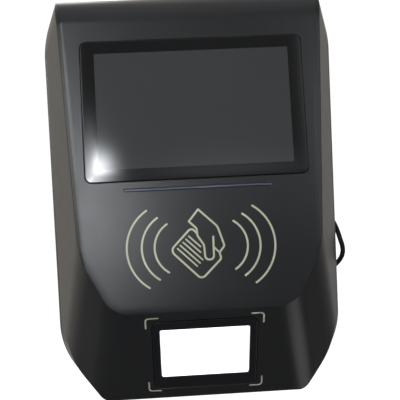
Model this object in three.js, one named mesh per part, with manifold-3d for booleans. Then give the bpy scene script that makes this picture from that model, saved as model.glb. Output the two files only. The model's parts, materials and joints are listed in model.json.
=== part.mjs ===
// Ticket validator: a wall or pole mounted reader with a tilted face that holds a screen, a
// contactless card target and, on the chin below, a code scanner window.
// Millimetres, +Z up, the face looks towards -Y. The origin is the centre of the mounting
// bracket's rear face, which lies on the wall.
import * as THREE from 'three';
import { mergeVertices } from 'three/addons/utils/BufferGeometryUtils.js';
import Module from 'manifold-3d';

const wasm = await Module();
wasm.setup();

// ---------------------------------------------------------------- driving dimensions
const WIDTH = 170;              // housing, at the rear
const TOP_LEVEL = 230;
const FOOT_LEVEL = -2;          // the housing's underside, 2 mm below the rear cover's datum
const CREASE_DEPTH = 55.3;      // from the cover's rear plane to the crease between face and chin
const CREASE_HEIGHT = 55.5;
const FACE_TILT = 8.1;          // degrees that the face leans back
const CHIN_TILT = 29.9;         // degrees that the chin runs back below the crease
const SIDE_TILT = 19.7;         // degrees that the side walls close in towards the front
const WALL = 3.2;
const COVER_WALL = 2.6;
const GAP = 0.3;
const SEAM_GAP = 1;             // between the front shell's rim and the rear cover
const POST_GAP = 1.2;           // between the front shell's posts and the cover's bosses
const BOSS = 11.6;              // the cover's screw bosses reach this far ahead of the rear plane
// Outward directions, and distances from the origin, of the slants that cut the housing's corners.
const LOW_CORNER = { x: 0.807, y: -0.2, z: -0.59, reach: 53 };
const HIGH_CORNER = { x: 0.852, y: 0, z: 0.524, reach: 185.7 };
const FACET = { x: 0.682, y: -0.679, z: -0.272, reach: 56.81 };
// Radius and number of flats of each kind of rounded edge.
const EDGES = {
  roll: [19, 5], foot: [3, 1], rim: [4.6, 1], lowCorner: [45, 3], highCorner: [45, 3],
  lowEdge: [8, 1], highEdge: [4, 1], chinToFacet: [24, 2], facetToSide: [36, 3],
};
// Each shallow bevel round the face: its share of the edge's turn, and its width on the face.
const BEVELS = { crease: [0.16, 3.8], facet: [0.12, 4.4], side: [0.085, 4] };

const GLASS = { width: 123.4, height: 78.5, radius: 3.5, middle: 111.25, proud: 0.4, thick: 2 };
const SCREEN = { width: 108, height: 64.8 };
const LIGHT_BAR = { width: 81.6, height: 1, middle: 67, proud: 0.2 };
const CARD_TARGET = { middle: 34.3, width: 96, height: 52 };
const SCANNER_FRAME = { width: 58.6, height: 50.5, radius: 4, middle: -32.65, low: -1.3, proud: 0.3 };
const SCANNER_WINDOW = { width: 49.6, height: 35, radius: 1, middle: -31.3, low: -2.3, proud: 0.1 };

const HUMP = { width: 116, low: 46, high: 196, depth: 24, bevel: 5, corner: 10 };
const BRACKET = { width: 90, low: 60, high: 180, thick: 2, rear: 30, radius: 6 };
const MOUNT_HEIGHT = (BRACKET.low + BRACKET.high) / 2;

const HOOKS = [[30, 84], [30, 160]];
const TONGUE = { left: 7, right: 12, z: 66, thick: 2, front: 1.5, lip: 6 };
const DOOR = { left: -55, right: -11, low: 12.5, high: 36, thick: 2.4, notch: 4 };
const DOOR_PIN = { y: 2.6, z: 11, radius: 0.9, knuckle: 2.2 };
const LOCK = {
  y: 8.2, radius: 6, plug: 4.3, top: 60, flange: 7.8, rim: 2, keyDepth: 8,
  nutRadius: 8.6, nutHeight: 4, hub: 4, arm: 11.2, halfArm: 3.4, camThick: 2.2,
};
// The button's profile runs along its travel: collar and stem lie inside the cover.
const BUTTON = {
  x: 6, z: 34, radius: 3.4, low: -1.4, edge: 0.5,
  collar: 5, collarLow: 3, collarHigh: 4.2, stem: 1.6, high: 5,
};
const BOARD = { half: 66, low: 72, high: 190, front: -17, rear: -15.4, holeX: 62, holeInset: 4 };
const CABLE = { radius: 1.5, y: 12, z: 100 };
const COIL = { x: 42, y: 5.6, z: 24, radius: 16.5, half: 3 };
const PLUG = { low: -2, high: 25.7, y: 6.9, z: 6.2, radius: 4.5, tip: 3.4, tipLength: 8, neck: 2.4 };
const COVER_SCREWS = [[70, 205], [71, 128], [71, 50]];
const SCREW_LENGTH = 18;
const FLANGE = { width: 132, low: 40, high: 200, front: -5.2, rear: -2.9 };

// Pieces behind the face and chin: low and high count outwards from that surface.
const TAPE = { outer: [121, 76.2, 3], inner: [114.4, 70, 2], low: -2.2, high: -1.7 };
const LCD = { width: 118, height: 75, radius: 1.5, low: -6.8, high: -3.5, lift: 0.5 };
const LCD_FRAME = {
  outer: [128, 80, 2], inner: [84, 44, 6], low: -8.3, sheet: 1.2,
  lipX: 59.4, lipTop: -4, lipHalf: 31,
};
const SCREEN_OPENING = { width: SCREEN.width + 5, height: SCREEN.height + 4, radius: 2 };
const LAMP = { halfWidth: 1.75, halfHeight: 1.4 };
const GUIDE = { low: -5, foot: -5.6, footTop: -3.6, overhang: 2, halfFoot: 2.2 };
const BAR_BOARD = { low: -7.5, high: -6.3, below: 3.4, above: 2.6, lamps: 8, pitch: 10.4, lampTop: -5.8 };
const ANTENNA = {
  low: -5.1, high: -3.9, radius: 3, loops: 3, inset: 3, pitch: 3.2, track: 1.5, raised: 0.3,
};
const FERRITE = { inset: 2, radius: 2, low: -6, high: -5.4 };
const SCANNER_OPENING = { width: 54, height: 45, radius: 2 };
const LIGHT_BOX = { outer: [53, 40, 1.5], inner: [49, 35, 1.5], low: -8.7, high: -2.7 };
const SCANNER_BOARD = {
  low: -10.3, high: -9.1, hole: 7, lampX: [-18, -9, 9, 18], lampY: 12, lampTop: -8.3,
};
const LENS_PROFILE = [
  [0, -13], [4.2, -13], [4.2, -7.4], [5.2, -7], [5.2, -5.2], [3.2, -5.2], [2.4, -6.6], [0, -6.6],
];
const MODULE = { width: 24, height: 18, radius: 1, low: -24, high: -10.7, bore: 4.5, boreLow: -13.3 };
const SCANNER_STRAP = {
  width: 40, height: 16, radius: 2, half: 7, low: -25.5, sheet: 1.2, legX: 18.8, footX: 26,
};

// Pieces in the body: x across, y along the depth (front is the smaller) and z up.
const BOSS_RADIUS = 5;
const POST = { radius: 4.5, front: -40 };
const BOARD_POST_RADIUS = 3.5;
const COVER_SCREW = {
  length: SCREW_LENGTH, head: 3.1, headHeight: 2.4, shank: 1.6, hole: 1.9, recess: 3.6, seat: 3.4,
};
const BOARD_SCREW = { length: 8, head: 2.6, headHeight: 1.8, shank: 1.2, hole: 1.6, thread: 1.5 };
const CHIPS = [[-40, 90, 12, 12], [-8, 84, 20, 8], [30, 88, 9, 16], [-45, 150, 8, 22], [44, 120, 10, 10]];
const CHIP_HEIGHT = 1.6;
const COMPUTE = {
  half: 24, low: 126, high: 166, rear: BOARD.rear + 1.5, can: 18, canInset: 4, canRear: -11,
};
const SINK = { half: 22, base: -10.7, baseRear: -8, fins: 8, pitch: 5.8, halfFin: 0.8, rear: 4 };
const HOLDER = {
  left: 34, right: 60, low: 144, high: 168, clip: 1.4, clipLow: 150, clipHigh: 162, clipRear: -10,
};
const CELL = { radius: 10, front: -13.6, rear: -10.4 };
const SOCKET = { left: 36, right: 52, low: 92, high: 108, rear: -6, wall: 2, floor: -13 };
const SIM_BOARD = { left: -53, right: -13, low: 13.5, high: 35, front: -12.4, rear: -11.2 };
const SIM_SOCKET = { left: -48, right: -18, low: 17, high: 31.5, rear: -8.2 };
const SIM_CARD = { left: -46, right: -21, low: 15.4, high: 29.5, front: -10.3, rear: -9.5 };
const SPEAKER = {
  half: 22, low: 202, high: 222, front: -12.6, rear: -3.6, coneWide: 8, coneNarrow: 5, coneDepth: 2.4,
};
const SPEAKER_SLOT = { count: 5, pitch: 7, half: 1.5, low: 205, high: 219 };
const RADIO = { left: 32, right: 60, low: 200, high: 222, front: -11, rear: -10, patchRear: -6 };
const RADIO_PATCH = { left: 37, right: 55, low: 202, high: 220 };
const FLEX = { left: 6, width: 16, thick: [0.3, -0.4] };
const FLEX_RUN = [[-40, 78], [-36, 76.5], [-30, 76], [-24, 77], [-20, 80], [-18.8, 84], [-18.8, 90]];
const SWITCH = {
  halfBoard: 8, below: 7, above: 5, boardFront: -11, boardRear: -9.8, half: 3, rear: -6.6,
};
const KNUCKLE_LENGTH = 8;
const HOOK = { half: 6, front: 17, sheet: 2, rise: 6.5, clearance: 0.5 };
const SLOT = { x: 34, low: 72, high: 172, radius: 2.75, half: 3 };
const GLAND = { thread: 5.7, hexRadius: 8.6, hexHeight: 4, nutRadius: 7.6, nutHeight: 4, reach: 9 };
const GLAND_DOME = [[0, 3.5], [7, 3.5], [7, 8], [5.4, 11.4], [3.2, 14], [0, 14]];
const TIE = { strap: 0.9, half: 1.5, headHalf: 2.4, headHeight: 3 };

const ROUND = 16;               // sides of a round piece
const SMALL_ROUND = 10;         // sides of a post, a screw or a screw hole
const CLEAR = 9;                // a cutting tool reaches this far past what it cuts
const FAR = 400;

// ---------------------------------------------------------------- solids and booleans
function solid(geometry) {
  const bare = geometry.clone();
  bare.deleteAttribute('normal');
  bare.deleteAttribute('uv');
  const merged = mergeVertices(bare);
  return new wasm.Manifold(new wasm.Mesh({
    numProp: 3,
    vertProperties: new Float32Array(merged.attributes.position.array),
    triVerts: new Uint32Array(merged.index.array),
  }));
}

function geometryOf(manifold) {
  const mesh = manifold.getMesh();
  const geometry = new THREE.BufferGeometry();
  geometry.setAttribute('position', new THREE.BufferAttribute(new Float32Array(mesh.vertProperties), 3));
  geometry.setIndex(new THREE.BufferAttribute(new Uint32Array(mesh.triVerts), 1));
  return geometry;
}

function combine(operation, first, rest) {
  return geometryOf(rest.reduce((sum, next) => sum[operation](solid(next)), solid(first)));
}
const join = (first, ...rest) => combine('add', first, rest);
const cut = (first, ...rest) => combine('subtract', first, rest);
const common = (first, ...rest) => combine('intersect', first, rest);

function box(low, high) {
  const size = low.map((value, i) => high[i] - value);
  const middle = low.map((value, i) => (high[i] + value) / 2);
  return new THREE.BoxGeometry(...size).translate(...middle);
}

function roundedRectangle(width, height, radius) {
  const x = width / 2;
  const y = height / 2;
  const shape = new THREE.Shape();
  shape.moveTo(-x + radius, -y);
  shape.lineTo(x - radius, -y);
  shape.absarc(x - radius, -y + radius, radius, -Math.PI / 2, 0);
  shape.absarc(x - radius, y - radius, radius, 0, Math.PI / 2);
  shape.absarc(-x + radius, y - radius, radius, Math.PI / 2, Math.PI);
  shape.absarc(-x + radius, -y + radius, radius, Math.PI, Math.PI * 1.5);
  return shape;
}

// A rounded plate across Z, from low to high.
function plate(width, height, radius, low, high, middle = 0) {
  const options = { depth: high - low, bevelEnabled: false, curveSegments: 3 };
  return new THREE.ExtrudeGeometry(roundedRectangle(width, height, radius), options)
    .translate(0, middle, low);
}

const TURNS = { x: [0, 0, -Math.PI / 2], y: [0, 0, 0], z: [Math.PI / 2, 0, 0] };
// A round bar along an axis, from low to high, with its middle line through at.
function rod(axis, radius, low, high, at = [0, 0], sides = ROUND) {
  const bar = new THREE.CylinderGeometry(radius, radius, high - low, sides);
  bar.rotateX(TURNS[axis][0]).rotateZ(TURNS[axis][2]);
  const middle = (low + high) / 2;
  const places = { x: [middle, ...at], y: [at[0], middle, at[1]], z: [...at, middle] };
  return bar.translate(...places[axis]);
}

// A turned piece about Z: profile is a list of [radius, height] that starts and ends on the axis.
function turned(profile, sides = ROUND) {
  const points = profile.map(([r, h]) => new THREE.Vector2(r, h));
  return new THREE.LatheGeometry(points, sides).rotateX(Math.PI / 2);
}

const degrees = THREE.MathUtils.degToRad;

// ---------------------------------------------------------------- the housing's outer form
// The housing is what lies inside a set of planes, each an outward direction and a distance.
const plane = (x, y, z, reach) => {
  const normal = new THREE.Vector3(x, y, z);
  return { normal: normal.clone().normalize(), reach: reach / normal.length() };
};
const crease = new THREE.Vector3(0, -CREASE_DEPTH, CREASE_HEIGHT);
const throughCrease = (y, z) => plane(0, y, z, crease.dot(new THREE.Vector3(0, y, z)));

const FACE = throughCrease(-Math.cos(degrees(FACE_TILT)), Math.sin(degrees(FACE_TILT)));
const CHIN = throughCrease(-Math.cos(degrees(CHIN_TILT)), -Math.sin(degrees(CHIN_TILT)));
const TOP = plane(0, 0, 1, TOP_LEVEL);
const BOTTOM = plane(0, 0, -1, -FOOT_LEVEL);

const slant = (sign, { x, y, z, reach }) => plane(sign * x, y, z, reach);

function sidePlanes(sign) {
  const lean = Math.tan(degrees(SIDE_TILT));
  return {
    side: plane(sign, -lean, 0, WIDTH / 2),
    lowCorner: slant(sign, LOW_CORNER),
    highCorner: slant(sign, HIGH_CORNER),
    facet: slant(sign, FACET),
  };
}

// A point on the line where two planes meet, once both are moved inwards by a depth.
function meeting(a, b, depth) {
  const between = a.normal.dot(b.normal);
  const reachA = a.reach - depth;
  const reachB = b.reach - depth;
  const share = 1 - between * between;
  return a.normal.clone().multiplyScalar((reachA - between * reachB) / share)
    .add(b.normal.clone().multiplyScalar((reachB - between * reachA) / share));
}

// The direction a share of the way from one plane's to another's.
function turnedNormal(a, b, share) {
  const angle = a.normal.angleTo(b.normal);
  return a.normal.clone().multiplyScalar(Math.sin((1 - share) * angle))
    .add(b.normal.clone().multiplyScalar(Math.sin(share * angle))).normalize();
}

// Planes that round the edge between two planes with a radius, in a number of flats.
function rounding(a, b, [radius, flats]) {
  const axis = meeting(a, b, radius);
  return Array.from({ length: flats }, (_, i) => {
    const normal = turnedNormal(a, b, (i + 0.5) / flats);
    return { normal, reach: normal.dot(axis) + radius };
  });
}

// The plane that takes an edge off from a width inside the first plane.
function bevel(a, b, [share, width]) {
  const normal = turnedNormal(a, b, share);
  const turn = share * a.normal.angleTo(b.normal);
  return { normal, reach: normal.dot(meeting(a, b, 0)) - width * Math.sin(turn) };
}

function housingPlanes() {
  const roll = rounding(FACE, TOP, EDGES.roll);
  const planes = [FACE, CHIN, TOP, BOTTOM, ...roll, bevel(FACE, CHIN, BEVELS.crease)];
  planes.push(...rounding(CHIN, BOTTOM, EDGES.foot));
  for (const sign of [-1, 1]) {
    const { side, lowCorner, highCorner, facet } = sidePlanes(sign);
    planes.push(side, lowCorner, highCorner, facet);
    planes.push(bevel(FACE, facet, BEVELS.facet), bevel(FACE, side, BEVELS.side));
    for (const flat of [FACE, ...roll]) planes.push(...rounding(flat, side, EDGES.rim));
    planes.push(...rounding(side, lowCorner, EDGES.lowCorner));
    planes.push(...rounding(lowCorner, BOTTOM, EDGES.lowEdge));
    planes.push(...rounding(side, highCorner, EDGES.highCorner));
    planes.push(...rounding(TOP, highCorner, EDGES.highEdge));
    planes.push(...rounding(CHIN, facet, EDGES.chinToFacet));
    planes.push(...rounding(facet, side, EDGES.facetToSide));
  }
  return planes;
}

function halfSpace({ normal, reach }) {
  const block = new THREE.BoxGeometry(2 * FAR, 2 * FAR, 2 * FAR);
  const turn = new THREE.Quaternion().setFromUnitVectors(new THREE.Vector3(0, 0, 1), normal);
  const middle = normal.clone().multiplyScalar(reach - FAR);
  return block.applyQuaternion(turn).translate(middle.x, middle.y, middle.z);
}

function inside(planes) {
  const [first, ...rest] = planes.map(halfSpace);
  return common(first, ...rest);
}

const PLANES = housingPlanes();
const REAR = plane(0, 1, 0, 0);
const inward = (planes, depth) => planes.map(({ normal, reach }) => ({ normal, reach: reach - depth }));
function housing(depth, rearDepth = depth) {
  return inside([...inward(PLANES, depth), ...inward([REAR], rearDepth)]);
}
const slab = (front, rear) => box([-FAR, front, -FAR], [FAR, rear, FAR]);

// ---------------------------------------------------------------- tilted work planes
// In each of these, X runs across, Y up the surface and Z outwards, from the middle of the crease.
const face = new THREE.Group();
face.position.copy(crease);
face.rotation.x = Math.PI / 2 - degrees(FACE_TILT);
face.updateMatrix();
const chin = new THREE.Group();
chin.position.copy(crease);
chin.rotation.x = Math.PI / 2 + degrees(CHIN_TILT);
chin.updateMatrix();
const onFace = (geometry) => geometry.applyMatrix4(face.matrix);
const onChin = (geometry) => geometry.applyMatrix4(chin.matrix);

// ---------------------------------------------------------------- housing pieces
const mirrored = (places) => places.flatMap(([x, z]) => [[-x, z], [x, z]]);

function frontShell() {
  const screwPosts = mirrored(COVER_SCREWS)
    .map((at) => rod('y', POST.radius, POST.front, -BOSS - POST_GAP, at, SMALL_ROUND));
  const walls = cut(housing(0, -1), housing(WALL, -1));
  const posts = common(join(...screwPosts), housing(WALL / 2, -1));
  const glassPocket = plate(
    GLASS.width + 2 * GAP, GLASS.height + 2 * GAP, GLASS.radius + GAP,
    GLASS.proud - GLASS.thick - 0.7, CLEAR, GLASS.middle,
  );
  const screenOpening = plate(
    SCREEN_OPENING.width, SCREEN_OPENING.height, SCREEN_OPENING.radius, -CLEAR, CLEAR, GLASS.middle,
  );
  const barSlot = box(
    [-LIGHT_BAR.width / 2 - GAP, LIGHT_BAR.middle - LIGHT_BAR.height / 2 - GAP, -CLEAR],
    [LIGHT_BAR.width / 2 + GAP, LIGHT_BAR.middle + LIGHT_BAR.height / 2 + GAP, CLEAR],
  );
  const framePocket = plate(
    SCANNER_FRAME.width + 2 * GAP, SCANNER_FRAME.height + 2 * GAP, SCANNER_FRAME.radius + GAP,
    SCANNER_FRAME.low - GAP, CLEAR, SCANNER_FRAME.middle,
  );
  const scannerOpening = plate(
    SCANNER_OPENING.width, SCANNER_OPENING.height, SCANNER_OPENING.radius,
    -CLEAR, CLEAR, SCANNER_FRAME.middle,
  );
  const threads = mirrored(COVER_SCREWS)
    .map((at) => rod('y', COVER_SCREW.hole, -5 - SCREW_LENGTH, 0, at, SMALL_ROUND));
  return cut(
    join(walls, posts),
    slab(-COVER_WALL - SEAM_GAP, FAR),
    onFace(glassPocket), onFace(screenOpening), onFace(barSlot),
    onChin(framePocket), onChin(scannerOpening),
    ...threads,
  );
}

function coverGasket() {
  const ring = cut(housing(0.7, -1), housing(WALL - 0.4, -2));
  return common(ring, slab(-COVER_WALL - SEAM_GAP + GAP, -COVER_WALL - GAP));
}

function humpBlock(depth, frontDepth) {
  const half = HUMP.width / 2 - depth;
  const ends = [plane(0, 0, -1, -HUMP.low - depth), plane(0, 0, 1, HUMP.high - depth)];
  const sides = [plane(-1, 0, 0, half), plane(1, 0, 0, half)];
  const rear = plane(0, 1, 0, HUMP.depth - depth);
  const bevels = [...ends, ...sides].flatMap((side) => rounding(side, rear, [HUMP.bevel, 1]));
  const corners = ends.flatMap((end) => sides.flatMap((side) => rounding(end, side, [HUMP.corner, 2])));
  return inside([...ends, ...sides, rear, ...bevels, ...corners, plane(0, -1, 0, frontDepth)]);
}

function hookSlots() {
  const reach = HOOK.half + HOOK.clearance;
  return mirrored(HOOKS).map(([x, z]) => box(
    [x - reach, HUMP.depth - CLEAR / 2, z - 1], [x + reach, HUMP.depth + CLEAR / 2, z + HOOK.rise + 1.5],
  ));
}

function rearCover() {
  const panel = common(housing(0), slab(-COVER_WALL, FAR));
  const bosses = mirrored(COVER_SCREWS)
    .map((at) => rod('y', BOSS_RADIUS, -BOSS, -COVER_WALL / 2, at, SMALL_ROUND));
  const first = DOOR.left + 1;
  const last = DOOR.right - 1;
  const outer = [[first, first + KNUCKLE_LENGTH], [last - KNUCKLE_LENGTH, last]];
  const knuckles = outer.flatMap(([low, high]) => [
    rod('x', DOOR_PIN.knuckle, low, high, [DOOR_PIN.y, DOOR_PIN.z]),
    box([low, -1, DOOR_PIN.z - DOOR_PIN.knuckle], [high, DOOR_PIN.y, DOOR_PIN.z]),
  ]);
  const doorway = box([DOOR.left - GAP, -CLEAR, DOOR.low - GAP], [DOOR.right + GAP, 1, DOOR.high + GAP]);
  const screwHoles = mirrored(COVER_SCREWS).flatMap((at) => [
    rod('y', COVER_SCREW.hole, -FAR, 1, at, SMALL_ROUND),
    rod('y', COVER_SCREW.recess, -COVER_SCREW.seat, 1, at, SMALL_ROUND),
  ]);
  return cut(
    join(panel, common(join(...bosses), housing(WALL + GAP, 0)), ...knuckles),
    humpBlock(-GAP, CLEAR),
    doorway,
    rod('x', DOOR_PIN.radius + GAP, DOOR.left - 1, DOOR.right + 1, [DOOR_PIN.y, DOOR_PIN.z]),
    rod('y', BUTTON.radius + GAP, -CLEAR, CLEAR, [BUTTON.x, BUTTON.z]),
    ...speakerSlots(),
    ...screwHoles,
  );
}

// The box behind the cover, which holds the boards and hangs on the bracket.
function rearBox() {
  const flange = box(
    [-FLANGE.width / 2, FLANGE.front, FLANGE.low], [FLANGE.width / 2, FLANGE.rear, FLANGE.high],
  );
  const boardPosts = boardHoles()
    .map((at) => rod('y', BOARD_POST_RADIUS, BOARD.rear + GAP, FLANGE.front + 0.5, at, SMALL_ROUND));
  const side = HUMP.width / 2;
  const tongueSlot = box(
    [TONGUE.left - 1, HUMP.depth - CLEAR / 2, TONGUE.z - TONGUE.lip - 1],
    [TONGUE.right + 1, HUMP.depth + CLEAR / 2, TONGUE.z + TONGUE.thick + 1],
  );
  return cut(
    join(flange, humpBlock(0, -FLANGE.rear + 0.5), ...boardPosts),
    humpBlock(COVER_WALL, CLEAR),
    rod('z', LOCK.radius + GAP, HUMP.low - CLEAR / 2, HUMP.low + CLEAR / 2, [0, LOCK.y]),
    rod('x', GLAND.thread + GAP, side - CLEAR / 2, side + CLEAR / 2, [CABLE.y, CABLE.z]),
    tongueSlot,
    ...hookSlots(),
    ...boardHoles().map((at) => rod('y', BOARD_SCREW.thread, BOARD.rear - 1, -6, at, SMALL_ROUND)),
  );
}

function speakerSlots() {
  return Array.from({ length: SPEAKER_SLOT.count }, (_, i) => {
    const x = (i - (SPEAKER_SLOT.count - 1) / 2) * SPEAKER_SLOT.pitch;
    return box(
      [x - SPEAKER_SLOT.half, -CLEAR, SPEAKER_SLOT.low],
      [x + SPEAKER_SLOT.half, CLEAR, SPEAKER_SLOT.high],
    );
  });
}

// A screw along Y: head towards the positive side, shank towards the negative side.
function screw({ head, headHeight, shank, length }) {
  const body = turned([
    [0, -length], [shank, -length + 1], [shank, 0], [head, 0], [head, headHeight], [0, headHeight],
  ], SMALL_ROUND);
  const socket = rod('z', head * 0.45, headHeight * 0.4, headHeight + 1, [0, 0], 6);
  return cut(body, socket).rotateX(-Math.PI / 2);
}

// ---------------------------------------------------------------- pieces on the face
function screenGlass() {
  const low = GLASS.proud - GLASS.thick;
  const bevel = 0.5;
  const options = {
    depth: GLASS.thick - 2 * bevel, bevelEnabled: true, bevelSegments: 1,
    bevelSize: bevel, bevelThickness: bevel, bevelOffset: -bevel, curveSegments: 4,
  };
  const outline = roundedRectangle(GLASS.width, GLASS.height, GLASS.radius);
  return new THREE.ExtrudeGeometry(outline, options).translate(0, GLASS.middle, low + bevel);
}

function frameRing(outer, inner, low, high, middle) {
  return cut(plate(...outer, low, high, middle), plate(...inner, low - 1, high + 1, middle));
}

const glassTape = () => frameRing(TAPE.outer, TAPE.inner, TAPE.low, TAPE.high, GLASS.middle);

function lcdPanel() {
  const body = plate(LCD.width, LCD.height, LCD.radius, LCD.low, LCD.high, GLASS.middle);
  const activeStep = plate(
    SCREEN.width, SCREEN.height, 0.5, LCD.high - 0.2, LCD.high + LCD.lift, GLASS.middle,
  );
  return join(body, activeStep);
}

function lcdBracket() {
  const { outer, inner, low, sheet, lipX, lipTop, lipHalf } = LCD_FRAME;
  const back = frameRing(outer, inner, low, low + sheet, GLASS.middle);
  const lip = (x) => box([x, GLASS.middle - lipHalf, low], [x + sheet, GLASS.middle + lipHalf, lipTop]);
  return join(back, lip(-lipX - sheet), lip(lipX));
}

function lightGuide() {
  const half = LIGHT_BAR.width / 2;
  const blade = box(
    [-half, LIGHT_BAR.middle - LIGHT_BAR.height / 2, GUIDE.low],
    [half, LIGHT_BAR.middle + LIGHT_BAR.height / 2, LIGHT_BAR.proud],
  );
  const foot = box(
    [-half - GUIDE.overhang, LIGHT_BAR.middle - GUIDE.halfFoot, GUIDE.foot],
    [half + GUIDE.overhang, LIGHT_BAR.middle + GUIDE.halfFoot, GUIDE.footTop],
  );
  return join(blade, foot);
}

// A small lamp's block on a board: its foot sinks a little into the board.
function lamp(x, y, board, top) {
  return box(
    [x - LAMP.halfWidth, y - LAMP.halfHeight, board - 0.1],
    [x + LAMP.halfWidth, y + LAMP.halfHeight, top],
  );
}

function lightBarBoard() {
  const half = LIGHT_BAR.width / 2 + 1;
  const board = box(
    [-half, LIGHT_BAR.middle - BAR_BOARD.below, BAR_BOARD.low],
    [half, LIGHT_BAR.middle + BAR_BOARD.above, BAR_BOARD.high],
  );
  const lamps = Array.from({ length: BAR_BOARD.lamps }, (_, i) => {
    const x = (i - (BAR_BOARD.lamps - 1) / 2) * BAR_BOARD.pitch;
    return lamp(x, LIGHT_BAR.middle, BAR_BOARD.high, BAR_BOARD.lampTop);
  });
  return join(board, ...lamps);
}

function cardAntenna() {
  const { width, height, middle } = CARD_TARGET;
  const board = plate(width, height, ANTENNA.radius, ANTENNA.low, ANTENNA.high, middle);
  const layer = (inset, low, high) => box(
    [-width / 2 + inset, middle - height / 2 + inset, low],
    [width / 2 - inset, middle + height / 2 - inset, high],
  );
  const loops = Array.from({ length: ANTENNA.loops }, (_, i) => {
    const inset = ANTENNA.inset + i * ANTENNA.pitch;
    return cut(
      layer(inset, ANTENNA.high - 0.1, ANTENNA.high + ANTENNA.raised),
      layer(inset + ANTENNA.track, ANTENNA.low, 0),
    );
  });
  return join(board, ...loops);
}

const ferriteSheet = () => plate(
  CARD_TARGET.width - 2 * FERRITE.inset, CARD_TARGET.height - 2 * FERRITE.inset, FERRITE.radius,
  FERRITE.low, FERRITE.high, CARD_TARGET.middle,
);

// ---------------------------------------------------------------- pieces on the chin
const scannerFrame = () => cut(
  plate(
    SCANNER_FRAME.width, SCANNER_FRAME.height, SCANNER_FRAME.radius,
    SCANNER_FRAME.low, SCANNER_FRAME.proud, SCANNER_FRAME.middle,
  ),
  plate(
    SCANNER_WINDOW.width + 2 * GAP, SCANNER_WINDOW.height + 2 * GAP, SCANNER_WINDOW.radius,
    -CLEAR, CLEAR, SCANNER_WINDOW.middle,
  ),
);
const scannerWindow = () => plate(
  SCANNER_WINDOW.width, SCANNER_WINDOW.height, SCANNER_WINDOW.radius,
  SCANNER_WINDOW.low, SCANNER_WINDOW.proud, SCANNER_WINDOW.middle,
);
const lightBox = () => frameRing(
  LIGHT_BOX.outer, LIGHT_BOX.inner, LIGHT_BOX.low, LIGHT_BOX.high, SCANNER_WINDOW.middle,
);

function scannerLightBoard() {
  const { low, high, hole, lampX, lampY, lampTop } = SCANNER_BOARD;
  const { middle } = SCANNER_WINDOW;
  const board = cut(plate(...LIGHT_BOX.outer, low, high, middle), rod('z', hole, -FAR, 0, [0, middle]));
  const lamps = lampX.flatMap((x) => [-lampY, lampY].map((y) => lamp(x, middle + y, high, lampTop)));
  return join(board, ...lamps);
}

const scannerLens = () => turned(LENS_PROFILE).translate(0, SCANNER_WINDOW.middle, 0);

function scannerModule() {
  const { width, height, radius, low, high, bore, boreLow } = MODULE;
  const body = plate(width, height, radius, low, high, SCANNER_WINDOW.middle);
  return cut(body, rod('z', bore, boreLow, 0, [0, SCANNER_WINDOW.middle]));
}

// A strap behind the scanner module, whose legs end in feet beside it.
function scannerBracket() {
  const { width, height, radius, half, low, sheet, legX, footX } = SCANNER_STRAP;
  const { middle } = SCANNER_WINDOW;
  const back = plate(width, height, radius, low, low + sheet, middle);
  const legs = [-1, 1].flatMap((sign) => {
    const across = (a, b) => [Math.min(sign * a, sign * b), Math.max(sign * a, sign * b)];
    const [legLow, legHigh] = across(legX, legX + sheet);
    const [footLow, footHigh] = across(legX, footX);
    return [
      box([legLow, middle - half, low], [legHigh, middle + half, MODULE.high]),
      box([footLow, middle - half, MODULE.high - sheet], [footHigh, middle + half, MODULE.high]),
    ];
  });
  return join(back, ...legs);
}

// ---------------------------------------------------------------- boards and parts inside
const boardHoles = () => mirrored([
  [BOARD.holeX, BOARD.low + BOARD.holeInset], [BOARD.holeX, BOARD.high - BOARD.holeInset],
]);

// A block in the body, from a piece's left, low and front to its right, high and rear.
const block = ({ left, right, low, high, front, rear }) => box([left, front, low], [right, rear, high]);

function mainBoard() {
  const board = box([-BOARD.half, BOARD.front, BOARD.low], [BOARD.half, BOARD.rear, BOARD.high]);
  const chips = CHIPS.map(([x, z, width, height]) => box(
    [x - width / 2, BOARD.front - CHIP_HEIGHT, z - height / 2],
    [x + width / 2, BOARD.front + 0.1, z + height / 2],
  ));
  const holes = boardHoles().map((at) => rod('y', BOARD_SCREW.hole, -FAR, 0, at, SMALL_ROUND));
  return cut(join(board, ...chips), ...holes);
}

function computeModule() {
  const { half, low, high, rear, can, canInset, canRear } = COMPUTE;
  const board = box([-half, BOARD.rear + GAP, low], [half, rear, high]);
  return join(board, box([-can, rear - 0.1, low + canInset], [can, canRear, high - canInset]));
}

function heatSink() {
  const { low, high } = COMPUTE;
  const base = box([-SINK.half, SINK.base, low], [SINK.half, SINK.baseRear, high]);
  const fins = Array.from({ length: SINK.fins }, (_, i) => {
    const x = (i - (SINK.fins - 1) / 2) * SINK.pitch;
    return box([x - SINK.halfFin, SINK.baseRear - 0.1, low], [x + SINK.halfFin, SINK.rear, high]);
  });
  return join(base, ...fins);
}

function coinHolder() {
  const { left, right, low, high, clip, clipLow, clipHigh, clipRear } = HOLDER;
  const rear = BOARD.rear + clip;
  const base = box([left, BOARD.rear + GAP, low], [right, rear, high]);
  const clips = [left, right - clip].map((x) => box(
    [x, rear - 1, clipLow], [x + clip, clipRear, clipHigh],
  ));
  return join(base, ...clips);
}

function coinCell() {
  const middle = [(HOLDER.left + HOLDER.right) / 2, (HOLDER.low + HOLDER.high) / 2];
  return rod('y', CELL.radius, CELL.front, CELL.rear, middle);
}

function powerSocket() {
  const { left, right, low, high, rear, wall, floor } = SOCKET;
  const body = block({ left, right, low, high, front: BOARD.rear + GAP, rear });
  return cut(body, box([left + wall, floor, low + wall], [right - wall, 0, high - wall]));
}

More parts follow.
